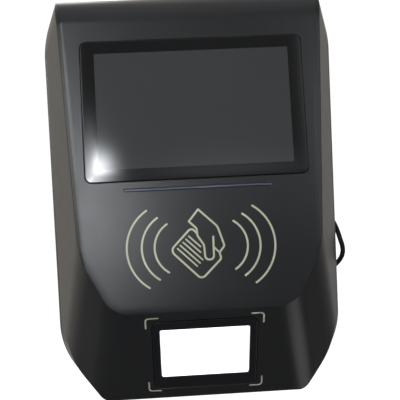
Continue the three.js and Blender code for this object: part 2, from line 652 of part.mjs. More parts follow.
function simBoard() {
  const socket = block({ ...SIM_SOCKET, front: SIM_BOARD.rear - 0.1 });
  const slot = box(
    [SIM_CARD.left - GAP, SIM_CARD.front - GAP, SIM_CARD.low - 0.4],
    [SIM_CARD.right + GAP, SIM_CARD.rear + GAP, SIM_CARD.high + GAP],
  );
  return cut(join(block(SIM_BOARD), socket), slot);
}
const simCard = () => block(SIM_CARD);

function speaker() {
  const { half, low, high, front, rear, coneWide, coneNarrow, coneDepth } = SPEAKER;
  const cone = new THREE.CylinderGeometry(coneWide, coneNarrow, coneDepth, ROUND)
    .translate(0, rear - coneDepth / 3, (low + high) / 2);
  return cut(block({ left: -half, right: half, low, high, front, rear }), cone);
}

function radioAntenna() {
  const patch = block({ ...RADIO_PATCH, front: RADIO.rear - 0.1, rear: RADIO.patchRear });
  return join(block(RADIO), patch);
}

// A flat cable from the display's lower edge to the main board.
function displayFlex() {
  const outline = new THREE.Shape();
  FLEX_RUN.forEach(([y, z], i) => (i ? outline.lineTo(y, z) : outline.moveTo(y, z)));
  const [behind, below] = FLEX.thick;
  [...FLEX_RUN].reverse().forEach(([y, z]) => outline.lineTo(y + behind, z + below));
  const strip = new THREE.ExtrudeGeometry(outline, { depth: FLEX.width, bevelEnabled: false });
  return strip.rotateX(Math.PI / 2).rotateZ(Math.PI / 2).translate(FLEX.left, 0, 0);
}

// ---------------------------------------------------------------- service door and button
function serviceDoor() {
  const panel = box([DOOR.left, -DOOR.thick, DOOR.low], [DOOR.right, 0, DOOR.high]);
  const middle = (DOOR.left + DOOR.right) / 2;
  const reach = (DOOR.right - DOOR.left) / 2 - 1 - KNUCKLE_LENGTH - 2 * GAP;
  const pin = [DOOR_PIN.y, DOOR_PIN.z];
  const barrel = rod('x', DOOR_PIN.knuckle, middle - reach, middle + reach, pin);
  const web = box([middle - reach, -0.6, DOOR.low], [middle + reach, DOOR_PIN.y + 0.6, pin[1] + 3.7]);
  const nailNotch = rod('y', DOOR.notch, -DOOR.thick / 2, 1, [middle, DOOR.high]);
  const pinHole = rod('x', DOOR_PIN.radius + GAP, DOOR.left, DOOR.right, pin);
  return cut(join(panel, barrel, web), nailNotch, pinHole);
}

function doorPin() {
  return rod('x', DOOR_PIN.radius, DOOR.left + 1.5, DOOR.right - 1.5, [DOOR_PIN.y, DOOR_PIN.z]);
}

function resetButton() {
  const { stem, collar, collarLow, collarHigh, low, high, edge } = BUTTON;
  const profile = [
    [0, low], [BUTTON.radius - 0.8, low], [BUTTON.radius, low + edge], [BUTTON.radius, collarLow],
    [collar, collarLow], [collar, collarHigh], [stem, collarHigh], [stem, high], [0, high],
  ];
  return turned(profile).rotateX(Math.PI / 2).translate(BUTTON.x, 0, BUTTON.z);
}

function resetSwitch() {
  const { halfBoard, below, above, boardFront, boardRear, half, rear } = SWITCH;
  const { x, z } = BUTTON;
  const board = box([x - halfBoard, boardFront, z - below], [x + halfBoard, boardRear, z + above]);
  const body = box([x - half, boardRear - 0.1, z - half], [x + half, rear, z + half]);
  return join(board, body);
}

// ---------------------------------------------------------------- lock and mounting bracket
function lockSleeve() {
  const middle = [0, LOCK.y];
  const flange = rod('z', LOCK.flange, HUMP.low - GAP - LOCK.rim, HUMP.low - GAP, middle);
  const tube = rod('z', LOCK.radius, HUMP.low - LOCK.rim, LOCK.top, middle);
  return cut(join(flange, tube), rod('z', LOCK.plug + GAP, 0, FAR, middle));
}

function lockNut() {
  const low = HUMP.low + COVER_WALL + GAP;
  const nut = rod('z', LOCK.nutRadius, low, low + LOCK.nutHeight, [0, LOCK.y], 6);
  return cut(nut, rod('z', LOCK.radius + GAP, 0, FAR, [0, LOCK.y]));
}

function lockBarrel() {
  const low = HUMP.low - 2 * GAP - LOCK.rim;
  const plug = rod('z', LOCK.plug, low, LOCK.top + 1, [0, LOCK.y]);
  const keyway = box([-0.7, LOCK.y - 2.8, low - 1], [0.7, LOCK.y + 2.8, HUMP.low + LOCK.keyDepth]);
  return cut(plug, keyway);
}

function lockCam() {
  const low = LOCK.top + 1 + GAP;
  const high = low + LOCK.camThick;
  const hub = rod('z', LOCK.hub, low, high, [0, LOCK.y]);
  const arm = box([0, LOCK.y - LOCK.halfArm, low], [LOCK.arm, LOCK.y + LOCK.halfArm, high]);
  const screwHead = rod('z', 2.4, high - 0.2, high + 1.4, [0, LOCK.y], 6);
  return join(hub, arm, screwHead);
}

function mountBracket() {
  const front = BRACKET.rear - BRACKET.thick;
  const height = BRACKET.high - BRACKET.low;
  const back = plate(BRACKET.width, height, BRACKET.radius, 0, BRACKET.thick)
    .rotateX(Math.PI / 2).translate(0, BRACKET.rear, MOUNT_HEIGHT);
  const hooks = mirrored(HOOKS).flatMap(([x, z]) => [
    box([x - HOOK.half, HOOK.front, z], [x + HOOK.half, front + 1, z + HOOK.sheet]),
    box([x - HOOK.half, HOOK.front, z], [x + HOOK.half, HOOK.front + HOOK.sheet, z + HOOK.rise]),
  ]);
  const tongue = [
    box([TONGUE.left, TONGUE.front, TONGUE.z], [TONGUE.right, front + 1, TONGUE.z + TONGUE.thick]),
    box(
      [TONGUE.left, TONGUE.front, TONGUE.z - TONGUE.lip],
      [TONGUE.right, TONGUE.front + 1.8, TONGUE.z + 1],
    ),
  ];
  const slots = mirrored([[SLOT.x, SLOT.low], [SLOT.x, SLOT.high]]).flatMap(([x, z]) => [
    rod('y', SLOT.radius, 0, FAR, [x - SLOT.half, z], SMALL_ROUND),
    rod('y', SLOT.radius, 0, FAR, [x + SLOT.half, z], SMALL_ROUND),
    box([x - SLOT.half, 0, z - SLOT.radius + 0.05], [x + SLOT.half, FAR, z + SLOT.radius - 0.05]),
  ]);
  return cut(join(back, ...hooks, ...tongue), ...slots);
}

// ---------------------------------------------------------------- cable
const GLAND_SEAT = HUMP.width / 2 + GAP;

function cableGland() {
  const hex = rod('x', GLAND.hexRadius, GLAND_SEAT, GLAND_SEAT + GLAND.hexHeight, [0, 0], 6);
  const thread = rod('x', GLAND.thread, HUMP.width / 2 - GLAND.reach, GLAND_SEAT + 1);
  const dome = turned(GLAND_DOME).rotateY(Math.PI / 2).translate(GLAND_SEAT, 0, 0);
  const bore = rod('x', CABLE.radius + GAP, 0, FAR);
  return cut(join(hex, thread, dome), bore).translate(0, CABLE.y, CABLE.z);
}

function glandNut() {
  const rear = HUMP.width / 2 - COVER_WALL - GAP;
  const nut = rod('x', GLAND.nutRadius, rear - GLAND.nutHeight, rear, [CABLE.y, CABLE.z], 6);
  return cut(nut, rod('x', GLAND.thread + GAP, 0, FAR, [CABLE.y, CABLE.z]));
}

// The cable's route from the gland, out past the housing's edge and back down behind it.
const CABLE_ROUTE = [
  [72.6, 12, 100], [77, 12, 99.8], [81.5, 11.6, 98.2], [85, 10.8, 95], [87.2, 10, 91],
  [88.7, 9.4, 86.6], [89.9, 9, 82.2], [91, 9, 78], [91, 9.4, 73.6], [89, 10, 69.4],
  [85.4, 10.4, 66], [81, 10.4, 63], [76.4, 10, 59.4], [72, 9.2, 55], [68, 8.2, 50],
  [64.8, 7.2, 44.6], [62.4, 6.4, 39], [60.6, 5.8, 33.4],
];

function cable() {
  const curve = new THREE.CatmullRomCurve3(CABLE_ROUTE.map((point) => new THREE.Vector3(...point)));
  const section = new THREE.Shape();
  section.absarc(0, 0, CABLE.radius, 0, 2 * Math.PI);
  return new THREE.ExtrudeGeometry(section, {
    steps: 22, curveSegments: 4, extrudePath: curve, bevelEnabled: false,
  });
}

function cableCoil() {
  const { radius, half } = COIL;
  const inner = radius - half;
  const outer = radius + half;
  const section = [[inner, -half], [outer, -half], [outer, half], [inner, half], [inner, -half]];
  const points = section.map(([r, h]) => new THREE.Vector2(r, h));
  return new THREE.LatheGeometry(points, 24).translate(COIL.x, COIL.y, COIL.z);
}

const cableTail = () => rod('x', CABLE.radius, PLUG.high + GAP, PLUG.high + 5.3, [PLUG.y - 1, PLUG.z], 8);

function cablePlug() {
  const length = PLUG.high - PLUG.low;
  const { tip, tipLength, radius, neck } = PLUG;
  return turned([
    [0, 0], [tip, 0], [tip, tipLength], [radius, tipLength + 0.6], [radius, 19],
    [3.2, 21], [neck, length], [0, length],
  ]).rotateY(Math.PI / 2).translate(PLUG.low, PLUG.y, PLUG.z);
}

// A strap round the coil's upper side, with its lock head behind.
function cableTie() {
  const middle = COIL.z + COIL.radius;
  const around = COIL.half + GAP;
  const outside = around + TIE.strap;
  const outer = box(
    [COIL.x - TIE.half, COIL.y - outside, middle - outside],
    [COIL.x + TIE.half, COIL.y + outside, middle + outside],
  );
  const hole = box([0, COIL.y - around, middle - around], [FAR, COIL.y + around, middle + around]);
  const lockHead = box(
    [COIL.x - TIE.headHalf, COIL.y + around, middle - TIE.headHalf + 0.4],
    [COIL.x + TIE.headHalf, COIL.y + around + TIE.headHeight, middle + TIE.headHalf],
  );
  return join(cut(outer, hole), lockHead);
}

// ---------------------------------------------------------------- assembly
const LOOKS = {
  shell: { color: 0x2b2c2e, roughness: 0.5, metalness: 0 },
  glass: { color: 0x1b1d1e, roughness: 0.08, metalness: 0 },
  display: { color: 0x3a3c3c, roughness: 0.35, metalness: 0 },
  gloss: { color: 0x0c0d0f, roughness: 0.12, metalness: 0 },
  diffuser: { color: 0xffffff, roughness: 0.4, metalness: 0 },
  lightGuide: { color: 0x7d88a0, roughness: 0.3, metalness: 0 },
  rubber: { color: 0x191919, roughness: 0.85, metalness: 0 },
  tape: { color: 0x161616, roughness: 0.9, metalness: 0 },
  board: { color: 0x1d5b34, roughness: 0.45, metalness: 0 },
  ferrite: { color: 0x3c3a3a, roughness: 0.8, metalness: 0.1 },
  steel: { color: 0x9b9d9f, roughness: 0.35, metalness: 1 },
  brass: { color: 0xb08d4c, roughness: 0.35, metalness: 1 },
  aluminium: { color: 0xa9adb0, roughness: 0.4, metalness: 1 },
  powder: { color: 0x303234, roughness: 0.6, metalness: 0.2 },
  polymer: { color: 0x1c1d1e, roughness: 0.6, metalness: 0 },
  card: { color: 0xe8e8e4, roughness: 0.4, metalness: 0 },
  cable: { color: 0x131313, roughness: 0.65, metalness: 0 },
};
const MATERIALS = Object.fromEntries(
  Object.entries(LOOKS).map(([name, look]) => [name, new THREE.MeshStandardMaterial({ name, ...look })]),
);

function add(parent, name, geometry, look) {
  const mesh = new THREE.Mesh(geometry, MATERIALS[look].clone());
  mesh.name = name;
  parent.add(mesh);
  return mesh;
}

const group = new THREE.Group();
group.position.set(0, -BRACKET.rear, -MOUNT_HEIGHT);
group.add(face, chin);

add(group, 'front_shell', frontShell(), 'shell');
add(group, 'rear_cover', rearCover(), 'shell');
add(group, 'rear_box', rearBox(), 'shell');
add(group, 'cover_gasket', coverGasket(), 'rubber');

add(face, 'screen_glass', screenGlass(), 'glass');
add(face, 'glass_tape', glassTape(), 'tape');
add(face, 'lcd_panel', lcdPanel(), 'display');
add(face, 'lcd_bracket', lcdBracket(), 'steel');
add(face, 'light_guide', lightGuide(), 'lightGuide');
add(face, 'light_bar_board', lightBarBoard(), 'board');
add(face, 'card_antenna', cardAntenna(), 'board');
add(face, 'ferrite_sheet', ferriteSheet(), 'ferrite');

add(chin, 'scanner_frame', scannerFrame(), 'gloss');
add(chin, 'scanner_window', scannerWindow(), 'diffuser');
add(chin, 'scanner_light_box', lightBox(), 'card');
add(chin, 'scanner_light_board', scannerLightBoard(), 'board');
add(chin, 'scanner_lens', scannerLens(), 'gloss');
add(chin, 'scanner_module', scannerModule(), 'polymer');
add(chin, 'scanner_bracket', scannerBracket(), 'steel');

add(group, 'main_board', mainBoard(), 'board');
add(group, 'compute_module', computeModule(), 'board');
add(group, 'heat_sink', heatSink(), 'aluminium');
add(group, 'coin_holder', coinHolder(), 'polymer');
add(group, 'coin_cell', coinCell(), 'steel');
add(group, 'power_socket', powerSocket(), 'card');
add(group, 'sim_board', simBoard(), 'board');
add(group, 'sim_card', simCard(), 'card');
add(group, 'speaker', speaker(), 'polymer');
add(group, 'radio_antenna', radioAntenna(), 'board');
add(group, 'display_flex', displayFlex(), 'brass');

add(group, 'service_door', serviceDoor(), 'shell');
add(group, 'door_pin', doorPin(), 'steel');
add(group, 'reset_button', resetButton(), 'polymer');
add(group, 'reset_switch', resetSwitch(), 'board');

add(group, 'lock_sleeve', lockSleeve(), 'steel');
add(group, 'lock_nut', lockNut(), 'steel');
add(group, 'lock_barrel', lockBarrel(), 'brass');
add(group, 'lock_cam', lockCam(), 'steel');
add(group, 'mount_bracket', mountBracket(), 'powder');

add(group, 'cable_gland', cableGland(), 'polymer');
add(group, 'gland_nut', glandNut(), 'polymer');
add(group, 'cable', cable(), 'cable');
add(group, 'cable_coil', cableCoil(), 'cable');
add(group, 'cable_tail', cableTail(), 'cable');
add(group, 'cable_plug', cablePlug(), 'polymer');
add(group, 'cable_tie', cableTie(), 'polymer');

const LEVELS = ['top', 'middle', 'bottom'];
COVER_SCREWS.forEach(([x, z], level) => {
  for (const [side, sign] of [['left', -1], ['right', 1]]) {
    const name = `cover_screw_${side}_${LEVELS[level]}`;
    const fastener = add(group, name, screw(COVER_SCREW), 'steel');
    fastener.position.set(sign * x, GAP - COVER_SCREW.seat, z);
  }
});

boardHoles().forEach(([x, z]) => {
  const name = `board_screw_${x < 0 ? 'left' : 'right'}_${z < MOUNT_HEIGHT ? 'bottom' : 'top'}`;
  const fastener = add(group, name, screw(BOARD_SCREW), 'steel');
  fastener.rotation.x = Math.PI;
  fastener.position.set(x, BOARD.front - GAP, z);
});

export default group;
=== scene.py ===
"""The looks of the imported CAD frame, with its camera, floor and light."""
import math

import bmesh
import bpy
from mathutils import Matrix, Vector
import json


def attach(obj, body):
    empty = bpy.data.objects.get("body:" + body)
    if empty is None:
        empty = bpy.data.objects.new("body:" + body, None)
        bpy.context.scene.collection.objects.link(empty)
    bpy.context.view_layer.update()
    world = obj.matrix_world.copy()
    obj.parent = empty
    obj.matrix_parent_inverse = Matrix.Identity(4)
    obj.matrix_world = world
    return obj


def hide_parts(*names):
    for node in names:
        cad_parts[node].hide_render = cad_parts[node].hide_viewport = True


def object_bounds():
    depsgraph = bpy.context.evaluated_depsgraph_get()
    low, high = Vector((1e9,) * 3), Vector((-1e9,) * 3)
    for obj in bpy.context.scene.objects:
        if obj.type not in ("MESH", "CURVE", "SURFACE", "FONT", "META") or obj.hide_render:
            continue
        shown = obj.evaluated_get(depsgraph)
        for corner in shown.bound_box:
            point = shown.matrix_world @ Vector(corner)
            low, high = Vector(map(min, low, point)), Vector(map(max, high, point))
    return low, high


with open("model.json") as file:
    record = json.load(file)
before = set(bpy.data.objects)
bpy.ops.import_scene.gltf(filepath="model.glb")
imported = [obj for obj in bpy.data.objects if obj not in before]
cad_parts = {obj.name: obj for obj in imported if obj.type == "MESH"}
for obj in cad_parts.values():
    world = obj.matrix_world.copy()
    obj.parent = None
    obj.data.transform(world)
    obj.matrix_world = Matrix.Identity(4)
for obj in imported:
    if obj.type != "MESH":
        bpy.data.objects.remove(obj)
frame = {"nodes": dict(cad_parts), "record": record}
cad_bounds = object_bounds()

# ------------------------------------------------------------------ driving dimensions
# Millimetres in the housing's own frame: the cover's rear plane at y 0, z upwards from a datum
# 2 mm above the housing's underside, and x across from the middle.
MM = 0.001
WIDTH = 170
TOP_LEVEL = 230
FOOT_LEVEL = -2
MOUNT = Vector((0, 30, 120))        # the bracket's rear face, the origin of the row frame
CREASE = Vector((0, -55.3, 55.5))
FACE_TILT = math.radians(8.1)
CHIN_TILT = math.radians(29.9)
SIDE_TILT = math.radians(19.7)
# Outward directions on the right, and distances from the origin, of the slants at the corners.
LOW_CORNER = {"direction": (0.807, -0.2, -0.59), "reach": 53}
HIGH_CORNER = {"direction": (0.852, 0, 0.524), "reach": 185.7}
FACET = {"direction": (0.682, -0.679, -0.272), "reach": 56.81}
# Radius and number of flats of each kind of rounded edge.
EDGES = {
    "roll": (19, 14), "foot": (3, 6), "crease": (2, 4), "corner": (45, 12), "low": (8, 8),
    "high": (4, 6), "chin_to_facet": (24, 14), "facet_to_side": (36, 14), "facet": (1.5, 5),
    "rim": (2, 4), "between_bevels": (120, 4), "bevel_to_crease": (90, 4),
}
# Each shallow bevel round the face: its share of the edge's turn, and its width on the face.
BEVELS = {"crease": (0.16, 3.8), "facet": (0.12, 4.4), "side": (0.085, 4)}
FACET_RIM = 1.5                     # the face's edge is rounded this much where a facet begins
SIDE_RIM = 4.6                      # and this much along the side walls
WALL = 3.2
COVER_WALL = 2.6
SEAM_GAP = 1                        # between the front shell's rim and the rear cover
GAP = 0.3
GLASS_GAP = 0.1

# On the face and chin, low, high and seat are levels on that surface, outwards.
SCREEN = {"width": 108, "height": 64.8, "radius": 0.6}
SCREEN_OPENING = {"width": SCREEN["width"] + 5, "height": SCREEN["height"] + 4, "radius": 2}
GLASS = {"width": 123.4, "height": 78.5, "radius": 3.5, "middle": 111.25,
         "low": -1.6, "high": 0.4, "edge": 0.5, "seat": -2.3}
LIGHT_BAR = {"width": 81.6, "height": 1, "radius": 0.49, "middle": 67,
             "low": -5, "high": 0.2, "edge": 0.18}
LIGHT_SLOT = {"radius": 0.75, "lead": 0.15}
LIGHT_FOOT = {"width": LIGHT_BAR["width"] + 4, "height": 4.4, "radius": 0.6,
              "middle": LIGHT_BAR["middle"], "low": -5.6, "high": -3.6, "edge": 0.2}
SCANNER_FRAME = {"width": 58.6, "height": 50.5, "radius": 4, "middle": -32.65,
                 "low": -1.3, "high": 0.3, "edge": 0.35, "seat": -1.6}
SCANNER_OPENING = {"width": 54, "height": 45, "radius": 2}
SCANNER_WINDOW = {"width": 49.6, "height": 35, "radius": 1, "middle": -31.3,
                  "low": -2.3, "high": 0.1, "edge": 0.25}
SCANNER_HOLE = {"radius": 1, "lead": 0.4, "depth": -3, "mouth": SCANNER_FRAME["high"] + 0.1}
TARGET_MIDDLE = 34.3
SCANNER_MARKS = {"half_width": 32.7, "low": -59.7, "high": -4.5, "arm": 6.8, "bend": 2}

DOOR = {"left": -55, "right": -11, "low": 12.5, "high": 36}
DOOR_PIN = {"y": 2.6, "z": 11, "radius": 0.9, "past_door": 5}
KNUCKLE = {"radius": 2.2, "length": 8, "inset": 1, "root": 1}
BOX_OPENING = {"width": 116 + 2 * GAP, "height": 150 + 2 * GAP, "radius": 10, "middle": 121}
# Cut is where in y a hole's cutter begins and ends. One reach for them all would leave needless
# thin triangles on the cover.
BUTTON = {"x": 6, "z": 34, "radius": 3.4, "cut": (-9, 4)}
COVER_SCREWS = [(sign * x, z) for x, z in ((70, 205), (71, 128), (71, 50)) for sign in (-1, 1)]
SCREW_HOLE = {"radius": 1.9, "cut": (-20, 1)}
SCREW_RECESS = {"radius": 3.6, "cut": (-3.4, 1)}
BOSS = {"radius": 5, "reach": 11.6}  # the cover's screw bosses, which reach forwards
SPEAKER_SLOTS = {"x": (-14, -7, 0, 7, 14), "half": 1.5, "low": 205, "high": 219,
                 "cut": (-6, 2)}

CABLE = {"radius": 1.5, "length": 453}
COIL = {"x": 42, "y": 5.6, "z": 24, "radius": 16.5, "start": math.radians(12), "steps": 52}
CROSSING = 0.3                      # share of a turn in which the cable moves to its next place
PLUG = {"high": 25.7, "y": 6.9, "z": 6.2}

ROUND = 32                          # sides of a round hole
CORNER_STEPS = 8                    # facets of a plate's rounded corner
SHELL_SHARP = 10                    # degrees past which an edge of the housing stays sharp
PLATE_SHARP = 50                    # and an edge of a small plate
LEAD = 0.35                         # chamfer at a pocket's mouth
CLEAR = 9                           # a cutting tool reaches this far past what it cuts
FAR = 400
INK_HEIGHT = 0.06                   # printed marks stand this proud
INK_DEPTH = 0.05                    # and sink in this far
BEND_STEPS = 6                      # facets of a rounded corner or end of a printed line
BEND_ROOM = 0.48                    # share of its shorter side that a rounded corner may take
PLAIN_BEND = 0.05                   # radius of a corner for which none is given
MITRE = 0.5                         # at a sharp bend a printed line widens to 1 / MITRE at most
LINES = {"wave": 1.1, "hand": 1.1, "finger": 1.0, "card": 1.1, "card_line": 0.85, "mark": 0.9}

TO_ROW = Matrix.Scale(MM, 4) @ Matrix.Translation(-MOUNT)
FACE = TO_ROW @ Matrix.Translation(CREASE) @ Matrix.Rotation(math.pi / 2 - FACE_TILT, 4, "X")
CHIN = TO_ROW @ Matrix.Translation(CREASE) @ Matrix.Rotation(math.pi / 2 + CHIN_TILT, 4, "X")
FROM_ROW = TO_ROW.inverted()


# ------------------------------------------------------------------ camera
CAMERA = {"place": (-24.48, -517.95, 144.48), "yaw": 3.049, "pitch": -3.603, "roll": -2.657,
          "lens": 77.34, "sensor": 36}


def add_camera():
    """The viewing angle: close in front, a little to the left, above the middle."""
    yaw, pitch, roll = (math.radians(CAMERA[key]) for key in ("yaw", "pitch", "roll"))
    forward = Vector((
        math.sin(yaw) * math.cos(pitch), math.cos(yaw) * math.cos(pitch), math.sin(pitch)))
    level = Vector((math.cos(yaw), -math.sin(yaw), 0))
    upright = level.cross(forward)
    right = math.cos(roll) * level + math.sin(roll) * upright
    up = -math.sin(roll) * level + math.cos(roll) * upright
    camera = bpy.data.objects.new("camera", bpy.data.cameras.new("camera"))
    camera.data.sensor_width = CAMERA["sensor"]
    camera.data.lens = CAMERA["lens"]
    camera.data.clip_start = 0.01
    camera.matrix_world = Matrix.Translation(TO_ROW @ Vector(CAMERA["place"])) @ Matrix(
        (right, up, -forward)).transposed().to_4x4()
    bpy.context.collection.objects.link(camera)
    bpy.context.scene.camera = camera


# ------------------------------------------------------------------ mesh tools
def new_object(name, mesh):
    piece = bpy.data.objects.new(name, mesh)
    bpy.context.collection.objects.link(piece)
    return piece


def mesh_object(name, form, transform=None):
    """An object from a bmesh, which is freed."""
    if transform is not None:
        form.transform(transform)
    bmesh.ops.recalc_face_normals(form, faces=form.faces)
    mesh = bpy.data.meshes.new(name)
    form.to_mesh(mesh)
    form.free()
    return new_object(name, mesh)


def bake(piece):
    """Replaces a piece's mesh with what its modifiers make of it."""
    graph = bpy.context.evaluated_depsgraph_get()
    mesh = bpy.data.meshes.new_from_object(piece.evaluated_get(graph))
    piece.modifiers.clear()
    piece.data = mesh


def combine(base, operation, others):
    """Joins others to base, or cuts or crops base by them, and removes them."""
    for other in others:
        step = base.modifiers.new("combine", "BOOLEAN")
        step.operation = operation
        step.solver = "EXACT"
        step.object = other
    bake(base)
    for other in others:
        bpy.data.objects.remove(other)


def tidy_faces(piece):
    """Merges what a boolean left doubled and joins flat neighbours, still in millimetres."""
    form = bmesh.new()
    form.from_mesh(piece.data)
    bmesh.ops.remove_doubles(form, verts=form.verts, dist=0.0005)
    bmesh.ops.dissolve_limit(
        form, angle_limit=math.radians(0.4), verts=form.verts, edges=form.edges)
    form.to_mesh(piece.data)
    form.free()


def smooth(piece, angle):
    """Smooth shading with edges past an angle kept sharp."""
    piece.data.shade_smooth()
    piece.data.set_sharp_from_angle(angle=math.radians(angle))
    weights = piece.modifiers.new("weights", "WEIGHTED_NORMAL")
    weights.keep_sharp = True
    weights.weight = 50


def block(low, high):
    form = bmesh.new()
    size = Vector(high) - Vector(low)
    middle = (Vector(high) + Vector(low)) / 2
    bmesh.ops.create_cube(form, matrix=Matrix.Translation(middle) @ Matrix.Diagonal(size).to_4x4())
    return mesh_object("block", form)


def bar(axis, radius, low, high, at):
    """A round bar along x or y whose middle line has the other two coordinates at."""
    turn = Matrix.Rotation(math.pi / 2, 4, {"x": "Y", "y": "X"}[axis])
    middle = list(at)
    middle.insert("xy".index(axis), (low + high) / 2)
    form = bmesh.new()
    bmesh.ops.create_cone(
        form, cap_ends=True, segments=ROUND, radius1=radius, radius2=radius, depth=high - low,
        matrix=Matrix.Translation(middle) @ turn)
    return mesh_object("bar", form)


def rounded_rectangle(width, height, radius):
    """Points of a rounded rectangle about the origin, anticlockwise."""
    points = []
    for quarter, (right, up) in enumerate(((1, -1), (1, 1), (-1, 1), (-1, -1))):
        middle_x, middle_y = right * (width / 2 - radius), up * (height / 2 - radius)
        for i in range(CORNER_STEPS + 1):
            angle = math.pi / 2 * (quarter - 1 + i / CORNER_STEPS)
            points.append((middle_x + radius * math.cos(angle), middle_y + radius * math.sin(angle)))
    return points


def loft(levels, middle):
    """A solid through rounded rectangles, each (width, height, radius, level)."""
    form = bmesh.new()
    loops = []
    for width, height, radius, level in levels:
        outline = rounded_rectangle(width, height, radius)
        loops.append([form.verts.new((x, y + middle, level)) for x, y in outline])
    for lower, upper in zip(loops, loops[1:]):
        for i in range(len(lower)):
            j = (i + 1) % len(lower)
            form.faces.new((lower[i], lower[j], upper[j], upper[i]))
    form.faces.new(list(reversed(loops[0])))
    form.faces.new(loops[-1])
    return form


def widened(shape, gap):
    """A shape that is larger by a gap all round."""
    return {**shape, "width": shape["width"] + 2 * gap, "height": shape["height"] + 2 * gap,
            "radius": shape["radius"] + gap}


def pocket(shape, depth, placement, lead=LEAD, mouth=0):
    """A cutter for a pocket with a small chamfer, lead wide, at its mouth."""
    width, height, radius = (shape[key] for key in ("width", "height", "radius"))
    wide = (width + 2 * lead, height + 2 * lead, radius + lead)
    levels = (
        (width, height, radius, depth), (width, height, radius, mouth - lead),
        (*wide, mouth), (*wide, CLEAR),
    )
    return mesh_object("pocket", loft(levels, shape["middle"]), placement)


def opening(shape, middle, placement):
    """A cutter for a straight rounded opening."""
    size = (shape["width"], shape["height"], shape["radius"])
    return mesh_object("opening", loft([(*size, -CLEAR), (*size, CLEAR)], middle), placement)


# ------------------------------------------------------------------ the housing's outer form
def plane(direction, reach):
    """A bounding plane as its outward unit direction and its distance from the origin."""
    direction = Vector(direction)
    return direction.normalized(), reach / direction.length


def through_crease(direction):
    return plane(direction, Vector(direction).dot(CREASE))


def rounding(a, b, radius, flats):
    """Planes that round the edge between planes a and b."""
    (normal_a, reach_a), (normal_b, reach_b) = a, b
    between = normal_a.dot(normal_b)
    share = 1 - between * between
    inner_a, inner_b = reach_a - radius, reach_b - radius
    axis = normal_a * ((inner_a - between * inner_b) / share)
    axis += normal_b * ((inner_b - between * inner_a) / share)
    angle = math.acos(between)
    planes = []
    for i in range(flats):
        turned = (i + 0.5) / flats * angle
        normal = (normal_a * math.sin(angle - turned) + normal_b * math.sin(turned)).normalized()
        planes.append((normal, normal.dot(axis) + radius))
    return planes


def chamfer(a, b, share, width):
    """The plane that takes the edge between two planes off, from width inside the first one.

    It is turned by a share of the angle between them.
    """
    (normal_a, reach_a), (normal_b, reach_b) = a, b
    between = normal_a.dot(normal_b)
    angle = math.acos(between)
    edge = normal_a * (reach_a - between * reach_b)
    edge += normal_b * (reach_b - between * reach_a)
    edge /= 1 - between * between
    normal = normal_a * math.sin((1 - share) * angle) + normal_b * math.sin(share * angle)
    normal.normalize()
    return normal, normal.dot(edge) - width * math.sin(share * angle)


def slant(sign, corner):
    """A corner's slanted plane, on the right where sign is 1 and on the left where it is -1."""
    x, y, z = corner["direction"]
    return plane((sign * x, y, z), corner["reach"])


def housing_planes():
    face = through_crease((0, -math.cos(FACE_TILT), math.sin(FACE_TILT)))
    chin = through_crease((0, -math.cos(CHIN_TILT), -math.sin(CHIN_TILT)))
    top = plane((0, 0, 1), TOP_LEVEL)
    bottom = plane((0, 0, -1), -FOOT_LEVEL)
    roll = rounding(face, top, *EDGES["roll"])
    crease = chamfer(face, chin, *BEVELS["crease"])
    planes = [face, chin, top, bottom, crease, *roll, *rounding(chin, bottom, *EDGES["foot"])]
    planes += rounding(crease, chin, *EDGES["crease"])
    for sign in (-1, 1):
        side = plane((sign, -math.tan(SIDE_TILT), 0), WIDTH / 2)
        low_corner, high_corner, facet = (
            slant(sign, corner) for corner in (LOW_CORNER, HIGH_CORNER, FACET))
        facet_bevel = chamfer(face, facet, *BEVELS["facet"])
        side_bevel = chamfer(face, side, *BEVELS["side"])
        planes += [side, low_corner, high_corner, facet, facet_bevel, side_bevel]
        planes += rounding(side_bevel, facet_bevel, *EDGES["between_bevels"])
        planes += rounding(facet_bevel, crease, *EDGES["bevel_to_crease"])
        bend = rounding(facet, side, *EDGES["facet_to_side"])
        planes += bend
        for step, flat in enumerate(bend):
            rim = FACET_RIM + (SIDE_RIM - FACET_RIM) * step / len(bend)
            planes += rounding(face, flat, rim, 1)
        for flat in (face, *roll):
            bevel = rounding(flat, side, SIDE_RIM, 1)[0]
            planes.append(bevel)
            planes += rounding(flat, bevel, *EDGES["rim"])
            planes += rounding(bevel, side, *EDGES["rim"])
            planes += rounding(flat, high_corner, *EDGES["high"])
        for one, other, edge in (
            (top, high_corner, "high"), (side, low_corner, "corner"), (side, high_corner, "corner"),
            (low_corner, bottom, "low"), (chin, facet, "chin_to_facet"), (facet_bevel, facet, "facet"),
        ):
            planes += rounding(one, other, *EDGES[edge])
    return planes


def convex(planes, depth):
    """The solid inside planes that are all moved inwards by depth."""
    form = bmesh.new()
    bmesh.ops.create_cube(form, size=2 * FAR)
    for normal, reach in planes:
        everything = form.verts[:] + form.edges[:] + form.faces[:]
        cut = bmesh.ops.bisect_plane(
            form, geom=everything, dist=1e-4, plane_co=normal * (reach - depth),
            plane_no=normal, clear_outer=True)
        rim = [item for item in cut["geom_cut"] if isinstance(item, bmesh.types.BMEdge)]
        if len(rim) > 2:
            bmesh.ops.contextual_create(form, geom=rim)
    return form


def housing(depth=0):
    """The housing's outer form, or its hollow at some depth inside it, up to the plane y 0."""
    rear = (Vector((0, 1, 0)), depth)
    return mesh_object("housing", convex([*HOUSING_PLANES, rear], depth))


HOUSING_PLANES = housing_planes()


